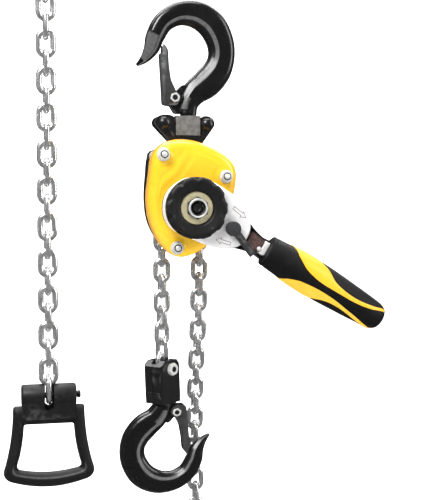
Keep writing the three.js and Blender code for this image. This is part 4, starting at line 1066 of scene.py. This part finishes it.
def add_lever():
    arm = prism(smooth_loop(ARM, 120), -46, -33)
    cavity = combine(prism(smooth_loop(inset(ARM, 2), 90), -47, -35), block(-60, 48, -50, -30, -40, 40),
                     how="INTERSECT")
    sweep = turned([(22, -38.8), (90, -38.8), (90, -32), (22, -32)], (0, 0), 96)
    combine(cavity, sweep)
    combine(arm, turned([(24, -37), (90, -37), (90, -32), (24, -32)], (0, 0), 96), cavity, bar_y(8.6, -80, 0))
    on_lever(arm, "lever_inner_casing_pressing", "black_paint", "lever_inner_casing", bevel=0.4)

    count = 140
    rim = smooth_loop(CASING, count)
    loops = []
    for by, y in ((0, -46.3), (0, -54), (0.25, -55.1), (0.8, -55.9), (1.7, -56.4), (2.8, -56.6),
                  (3.2, -56.6)):
        loops.append([(x, y, z) for x, z in inset(rim, by)])
    shell = rings(loops)
    inner = prism(smooth_loop(inset(CASING, 1.8), 110), -54.8, -40)
    combine(shell, inner, bar_y(8.6, -80, 0), bar_y(3, -80, 0, SELECTOR, 32))
    lines = []
    for tail, tip in ARROWS.values():
        outline = arrow_outline(tail, tip)
        thin = shrunk(outline, 0.42)
        groove = combine(prism(outline, -57.4, -56.3), prism(thin, -58, -55))
        line = combine(prism(outline, -56.52, -56.32), prism(thin, -58, -55))
        combine(shell, groove)
        lines.append(line)
    on_lever(shell, "lever_outer_casing_pressing", "chrome", "lever_outer_casing", bevel=0.12)
    # The arrows' dark outlines are painted shade in their grooves; the lines' metal is chrome.
    on_lever(joined(lines), "lever_arrow_lines", "groove_shadow", slot="chrome", bevel=0)

    mid = LEVER_LINE
    neck = prism([(46.4, mid + 5.6), (57.4, mid + 4.4), (57.4, mid - 4.4), (46.4, mid - 5.6)], -53, -46.3)
    ribs = [block(48.3 + 2.3 * k, 49 + 2.3 * k, -54, -52.7, mid - 7, mid + 7) for k in range(4)]
    combine(neck, *ribs)
    # The neck's brown colour is painted shade.
    on_lever(neck, "lever_neck_ribbed", "brown_neck", "lever_neck", bevel=0.3)
    collar = block(57.8, 61.8, -53.4, -46.3, mid - 5, mid + 5)
    bar = block(60.4, 120, -51.6, -46.3, mid - 4, mid + 4)
    combine(collar, bar, how="UNION")
    on_lever(collar, "lever_bar_flat", "chrome", "lever_bar", bevel=0.4)
    bolt = turned([(0, -54.6), (1.1, -54.5), (1.6, -54), (1.6, -52), (0, -52)], (56.2, mid - 2.6), 32)
    on_lever(bolt, "lever_neck_rivet", "zinc_plate", bevel=0.1)

    disc = turned([(0, -62), (4.4, -62), (5, -61.8), (5.3, -61.3), (5.3, -57.2), (0, -57.2)], SELECTOR, 64)
    arm = block(0, 23.5, -61.4, -58, -2.5, 2.5)
    place(arm, shift((SELECTOR[0], 0, SELECTOR[1])) @ spin(22, "Y"))
    rib = block(6.4, 22.2, -61.8, -61, -1.5, 1.5)
    place(rib, shift((SELECTOR[0], 0, SELECTOR[1])) @ spin(22, "Y"))
    combine(disc, arm, rib, bar_y(2.7, -58, -39.3, SELECTOR), how="UNION")
    on_lever(disc, "selector_handle", "charcoal", "selector", body="selector", slot="black_plastic",
             bevel=0.35, segments=3)
    u, v = SELECTOR
    pawl = prism([(16.6, 5), (16.2, 1.6), (u - 4, v - 3.4), (u + 3, v - 4.4), (u + 4, v + 3),
                  (u - 2, v + 4.6)], -42.8, -39.4)
    combine(pawl, bar_y(3, -80, 0, SELECTOR, 32))
    on_lever(pawl, "selector_pawl_cut", "machined_steel", "selector_pawl", body="selector", bevel=0.3)


# ------------------------------------------------------------------ chain
def link_points():
    """Rings of one link, long in local Z and flat in local XZ, centred at the origin."""
    bend = LINK_HALF_WIDTH - WIRE
    straight = PITCH / 2 + WIRE - bend
    path = []
    arc = 9
    for sign in (1, -1):
        for i in range(arc + 1):
            a = pi * i / arc
            path.append(Vector((sign * bend * cos(a), 0, sign * (straight + bend * sin(a)))))
    size, sides = len(path), 10
    loops = []
    for i, p in enumerate(path):
        along = (path[(i + 1) % size] - path[i - 1]).normalized()
        across = Vector((0, 1, 0)).cross(along)
        loops.append([p + WIRE * (across * cos(a) + Vector((0, 1, 0)) * sin(a))
                      for a in (2 * pi * k / sides for k in range(sides))])
    return loops


LINK_LOOPS = link_points()


def chain(places):
    """One mesh of separate links at the given matrices, each a little loose."""
    points, faces = [], []
    size, sides = len(LINK_LOOPS), len(LINK_LOOPS[0])
    for matrix in places:
        turn = matrix @ Matrix.Rotation(RANDOM.uniform(-0.05, 0.05), 4, "Z")
        turn = turn @ Matrix.Rotation(RANDOM.uniform(-0.012, 0.012), 4, "X")
        start = len(points)
        for i, loop in enumerate(LINK_LOOPS):
            points += [turn @ p for p in loop]
            a, b = start + i * sides, start + ((i + 1) % size) * sides
            faces += [(a + j, a + (j + 1) % sides, b + (j + 1) % sides, b + j) for j in range(sides)]
    return solid(points, faces)


def tail_route():
    """The slack strand: down from the sheave, round below the hook, up the riser and down to the end ring."""
    falling = [(0, -172.5), (0, -175), (1, -200), (6, -235), (13.4, -268), (17.2, -300), (17.2, -340),
               (14.6, -365)]
    turn = [(TAIL_X - 3, 10, -385), (TAIL_X - 26, -3, -424), (-71, -36, -443), (-127, -67, -424),
            (RISER_X + 3, -85, -385)]
    top = [(RISER_X + 7, RING[1], 36), (RISER_X + 21.7, RING[1], 43), (RING[0] - 7, RING[1], 36)]
    return [Vector(p) for p in [
        *((TAIL_X, y, z) for y, z in falling), *turn,
        *((RISER_X, RING[1], z) for z in (-350, -300, -240, -180, -120, -60, 0, 20)), *top,
        *((RING[0], RING[1], z) for z in (20, 0, -60, -120, -180, -220, RING[2] + 4))]]


def add_chains():
    quarter = pi / 2
    over = []
    for k in range(1, 5):
        a = pi - k * pi / 4
        over.append(shift((AXIS[0] + APOTHEM * cos(a), 0, AXIS[1] + APOTHEM * sin(a)))
                    @ Matrix.Rotation(pi - a, 4, "Y") @ Matrix.Rotation((k % 2) * quarter, 4, "Z"))
    for k in (1, 2):
        over.append(shift((TAIL_X, 0, AXIS[1] - k * PITCH)) @ Matrix.Rotation((k % 2) * quarter, 4, "Z"))
    piece(chain(over), "sheave_chain_links", "chain_steel", "frame", "chain_over_sheave", bevel=0, angle=80)

    load = []
    for k in range(11):
        twist = BLOCK_TURN * max(0, k - 4) / 6
        load.append(shift((LOAD_X, 0, AXIS[1] - k * PITCH))
                    @ Matrix.Rotation((k % 2) * quarter + twist, 4, "Z"))
    piece(chain(load), "load_chain_links", "chain_steel", "load_chain", "load_chain", bevel=0, angle=80)

    route = tail_route()
    dense = []
    for k in range(len(route) - 1):
        pick = [route[min(max(k + j - 1, 0), len(route) - 1)] for j in range(4)]
        dense += [Vector(catmull(*pick, i / 24)) for i in range(24)]
    dense.append(route[-1])
    lengths = [0.0]
    for a, b in zip(dense, dense[1:]):
        lengths.append(lengths[-1] + (b - a).length)
    total = lengths[-1]
    count = round(total / PITCH / 2) * 2
    places = []
    side = Vector((1, 0, 0))
    frames, at = [], 0
    for i, p in enumerate(dense):
        along = (dense[min(i + 1, len(dense) - 1)] - dense[max(i - 1, 0)]).normalized()
        side = (side - along * side.dot(along)).normalized()
        frames.append((p, along, side.copy()))
    end_along, end_side = frames[-1][1], frames[-1][2]
    wanted = Vector((1, 0, 0))
    fix = atan2(end_along.dot(end_side.cross(wanted)), end_side.dot(wanted))
    for n in range(count + 1):
        s = total * n / count
        while at < len(lengths) - 2 and lengths[at + 1] < s:
            at += 1
        f = (s - lengths[at]) / (lengths[at + 1] - lengths[at])
        p = frames[at][0].lerp(frames[at + 1][0], f)
        along = frames[at][1].lerp(frames[at + 1][1], f).normalized()
        across = frames[at][2].lerp(frames[at + 1][2], f)
        across = (across - along * across.dot(along)).normalized()
        hidden = smooth_step(0.22, 0.72, n / count)
        across = Matrix.Rotation(fix * hidden, 3, along) @ across
        turn = Matrix((across, along.cross(across) * -1, along * -1)).transposed().to_4x4()
        places.append(shift(p) @ turn @ Matrix.Rotation(((n + 1) % 2) * quarter, 4, "Z"))
    piece(chain(places), "free_chain_links", "chain_steel", "frame", "tail_chain", bevel=0, angle=80)


# ------------------------------------------------------------------ hook block
def add_block():
    matrix = lower_matrix() @ Matrix.Rotation(BLOCK_TURN, 4, "Z")
    top, low = 6.6, -26.2
    half = [(-11, top - 4), (-6, top), (7, top), (12, top - 6), (13, low + 12), (9.6, low), (-9.6, low),
            (-13, low + 12)]
    for name, y0, y1 in (("front", -9, -0.2), ("rear", 0.2, 9)):
        body = prism(half, y0, y1)
        outer = y0 if name == "front" else y1
        sign = -1 if name == "front" else 1
        outward = (min(0, sign * 20), max(0, sign * 20))
        for x, x0, lean in ((-9.6, -20, -1), (9.6, 0, 1)):
            chamfer = block(x0, x0 + 20, *outward, -60, 40)
            combine(body, place(chamfer, shift((x, outer, 0)) @ spin(-sign * lean * 38, "Z")))
        slope = block(-30, 30, *outward, -20, 0)
        combine(body, place(slope, shift((0, outer, low + 8)) @ spin(sign * 20, "X")))
        shade = block(-30, 30, *outward, 0, 20)
        combine(body, place(shade, shift((0, outer, top - 5)) @ spin(-sign * 35, "X")))
        for x0, x1 in ((-30, -10.9), (10.9, 30)):
            combine(body, block(x0, x1, -20, 20, -3.6, -1.9), block(x0 * 1.06, x1 * 1.06, -20, 20, -17, -3.7))
        combine(body, block(-8.9, 8.9, -3, 3, -8.6, top + 4), block(-4.8, 4.8, -7.6, 7.6, 0.6, top + 4))
        for r, z0, z1 in ((6.4, low + 1.6, -11), (4.7, low - 4, -12)):
            combine(body, place(bar_y(r, -z1, -z0), Matrix.Scale(-1, 4, (0, 0, 1)) @ spin(90, "X")))
        combine(body, bar_y(2.4, -20, 20, (0, 0), 32))
        piece(place(body, matrix), f"block_{name}_half_forged", "black_paint", "load_block",
              f"block_{name}_half", bevel=0.9, segments=4)
    bolt = turned([(0, -13), (1.6, -13), (2.1, -12.5), (2.1, 9.3), (5, 9.3), (5, 11.6), (4.4, 12.3),
                   (0, 12.3)], (0, 0), 48)
    piece(place(bolt, matrix), "block_bolt_turned", "black_paint", "load_block", "block_bolt", bevel=0.1)
    nut = hex_nut(9.6, -12.6, -9.4, (0, 0), 2.3, 0.2)
    piece(place(nut, matrix), "block_nut_chamfered", "zinc_plate", "load_block", "block_nut", bevel=0.2)


# ------------------------------------------------------------------ end ring
def ring_loop(parts, per=10):
    out = []
    for a, b, c in parts:
        out += [tuple(Vector(a) * (1 - f) ** 2 + Vector(b) * 2 * f * (1 - f) + Vector(c) * f * f)
                for f in (i / per for i in range(per))]
    return out


def mirrored(parts):
    return [tuple((-x, z) for x, z in reversed(part)) for part in reversed(parts)]


def add_end_ring():
    s = -6.4
    outer_right = [((0, s), (10, s), (21, s)), ((21, s), (23, s), (23, s - 3)),
                   ((23, s - 3), (23.4, -30), (29, -48)), ((29, -48), (30, -53), (25, -55.4)),
                   ((25, -55.4), (12, -59.7), (0, -59.7))]
    inner_right = [((0, -18.8), (8, -18.8), (14.6, -18.8)), ((14.6, -18.8), (16, -18.8), (16, -21)),
                   ((16, -21), (17, -35), (20.4, -45)), ((20.4, -45), (20.4, -47.6), (18, -48)),
                   ((18, -48), (9, -50), (0, -50))]
    outer = ring_loop(outer_right + mirrored(outer_right))
    inner = ring_loop(inner_right + mirrored(inner_right))
    section = [(0, 0), (0.03, 0.42), (0.1, 0.66), (0.22, 0.84), (0.4, 0.94), (0.56, 0.98), (0.66, 1.0),
               (0.7, 0.93), (0.76, 0.86), (0.86, 0.7), (0.95, 0.45), (1, 0)]
    across = [(q, -h) for q, h in section] + [(q, h) for q, h in reversed(section[1:-1])]
    loops, painted_highlight = [], []
    for q, h in across:
        loops.append([(a[0] + (b[0] - a[0]) * q, h * 5, a[1] + (b[1] - a[1]) * q)
                      for a, b in zip(outer, inner)])
        # Painted highlight along the ridge of the ring's lower bar.
        painted_highlight += [0.45 if 0.6 < q < 0.72 and a[1] < -46 else 0 for a in outer]
    frame_ring = rings(loops, wrap=True, values={"painted_highlight": painted_highlight})
    place(frame_ring, Matrix.Diagonal((RING_SCALE, 1, RING_SCALE, 1)))
    barrel = turned([(0, -18), (6.4, -18), (7.2, -17.5), (7.6, -16.7), (7.6, 16.7), (7.2, 17.5), (6.4, 18),
                     (0, 18)])
    place(barrel, spin(90, "Z"))
    web = prism(fillet([(-17.5, -15.2), (17.5, -15.2), (17.5, 0), (-17.5, 0)], 1.6), -6, 6)
    combine(frame_ring, barrel, web, how="UNION")
    slot = prism([(-3.2, 9), (-3.2, -7.2), (-2.2, -9), (0, -9.8), (2.2, -9), (3.2, -7.2), (3.2, 9)], -8, 0)
    back = prism([(-2.4, 9), (-2.4, -6.2), (0, -7.6), (2.4, -6.2), (2.4, 9)], -0.5, 8)
    bore = place(bar_y(2.3, -30, 30), spin(90, "Z"))
    combine(frame_ring, slot, back, bore)
    at = shift(RING)
    piece(place(frame_ring, at), "end_ring_moulded", "black_plastic", "end_ring", "end_ring", bevel=0.35,
          segments=3, angle=38)
    pin = turned([(0, -17.8), (2, -17.8), (2, 18.9), (2.6, 19.3), (2.6, 20.5), (1.8, 21.1), (0, 21.1)],
                 (0, 0), 48)
    place(pin, at @ spin(-90, "Z"))
    piece(pin, "end_ring_pin_turned", "black_paint", "end_ring", "end_ring_pin", bevel=0.15)


# ------------------------------------------------------------------ assembly
add_chains()
add_hook("top", "top_hook", "top_latch", Matrix.Identity(4), -83, -66, True)
add_yoke()
add_frame()
add_brake_cover()
add_gear_cover()
add_stays()
add_gears()
add_hand_wheel()
add_lever()
add_grip()
add_block()
lower_hook = (lower_matrix() @ shift((LOWER_SCALE[0], 0, LOWER_SADDLE_Z - BOLT_Z))
              @ Matrix.Rotation(pi, 4, "Y") @ Matrix.Diagonal((*LOWER_SCALE, 1)))
add_hook("load", "load_hook", "load_latch", lower_hook, -65.2, -60, False)
add_end_ring()

# ------------------------------------------------------------------ stage and light
FLOOR_Z = CAD_BOX[0].z - 0.004
FLOOR_FRONT, FLOOR_BACK, FLOOR_HALF_WIDTH = -2.4, 1.7, 3.4
WALL_ROUND, WALL_TOP = 0.5, 3.2
sweep = [(FLOOR_FRONT, FLOOR_Z), (FLOOR_BACK, FLOOR_Z)]
sweep += [(FLOOR_BACK + WALL_ROUND * sin(radians(a)), FLOOR_Z + WALL_ROUND - WALL_ROUND * cos(radians(a)))
          for a in range(10, 91, 10)]
sweep += [(FLOOR_BACK + WALL_ROUND, FLOOR_Z + WALL_TOP)]
verts = [(x, y, z) for y, z in sweep for x in (-FLOOR_HALF_WIDTH, FLOOR_HALF_WIDTH)]
faces = [(2 * i, 2 * i + 1, 2 * i + 3, 2 * i + 2) for i in range(len(sweep) - 1)]
floor_mesh = bpy.data.meshes.new("floor")
floor_mesh.from_pydata(verts, [], faces)
for face in floor_mesh.polygons:
    face.use_smooth = True
floor = bpy.data.objects.new("floor", floor_mesh)
SCENE.collection.objects.link(floor)
floor_mesh.materials.append(surface("pale_floor", (0.9, 0.9, 0.9), (0.6, 0.7), mottle=0.01, bump=0.02))

WORLD_STRENGTH = 0.16
world = bpy.data.worlds.new("studio")
world.use_nodes = True
world.node_tree.nodes["Background"].inputs["Color"].default_value = (1, 1, 1, 1)
world.node_tree.nodes["Background"].inputs["Strength"].default_value = WORLD_STRENGTH
SCENE.world = world
SCENE.view_settings.view_transform = "Standard"
floor.visible_glossy = False


def lamp(name, at, size, power, target=(-0.05, 0, -0.2)):
    data = bpy.data.lights.new(name, "AREA")
    data.shape, data.size, data.size_y, data.energy = "RECTANGLE", size[0], size[1], power
    obj = bpy.data.objects.new(name, data)
    SCENE.collection.objects.link(obj)
    obj.location = at
    obj.rotation_mode = "QUATERNION"
    obj.rotation_quaternion = (Vector(target) - Vector(at)).to_track_quat("-Z", "Y")


lamp("key_light", (-0.8, -1.15, 0.95), (0.7, 0.7), 34)
lamp("fill_light", (1.35, -0.8, 0.35), (0.35, 1.3), 13)
lamp("top_light", (-0.1, -0.2, 1.2), (1.2, 0.5), 14)
lamp("backdrop_light", (0.2, 0.75, 1.5), (2.6, 0.6), 70, (0.2, 2.0, 0.0))
lamp("floor_light", (0.2, 0.7, 0.9), (2.4, 0.5), 24, (0.2, 1.2, -0.8))
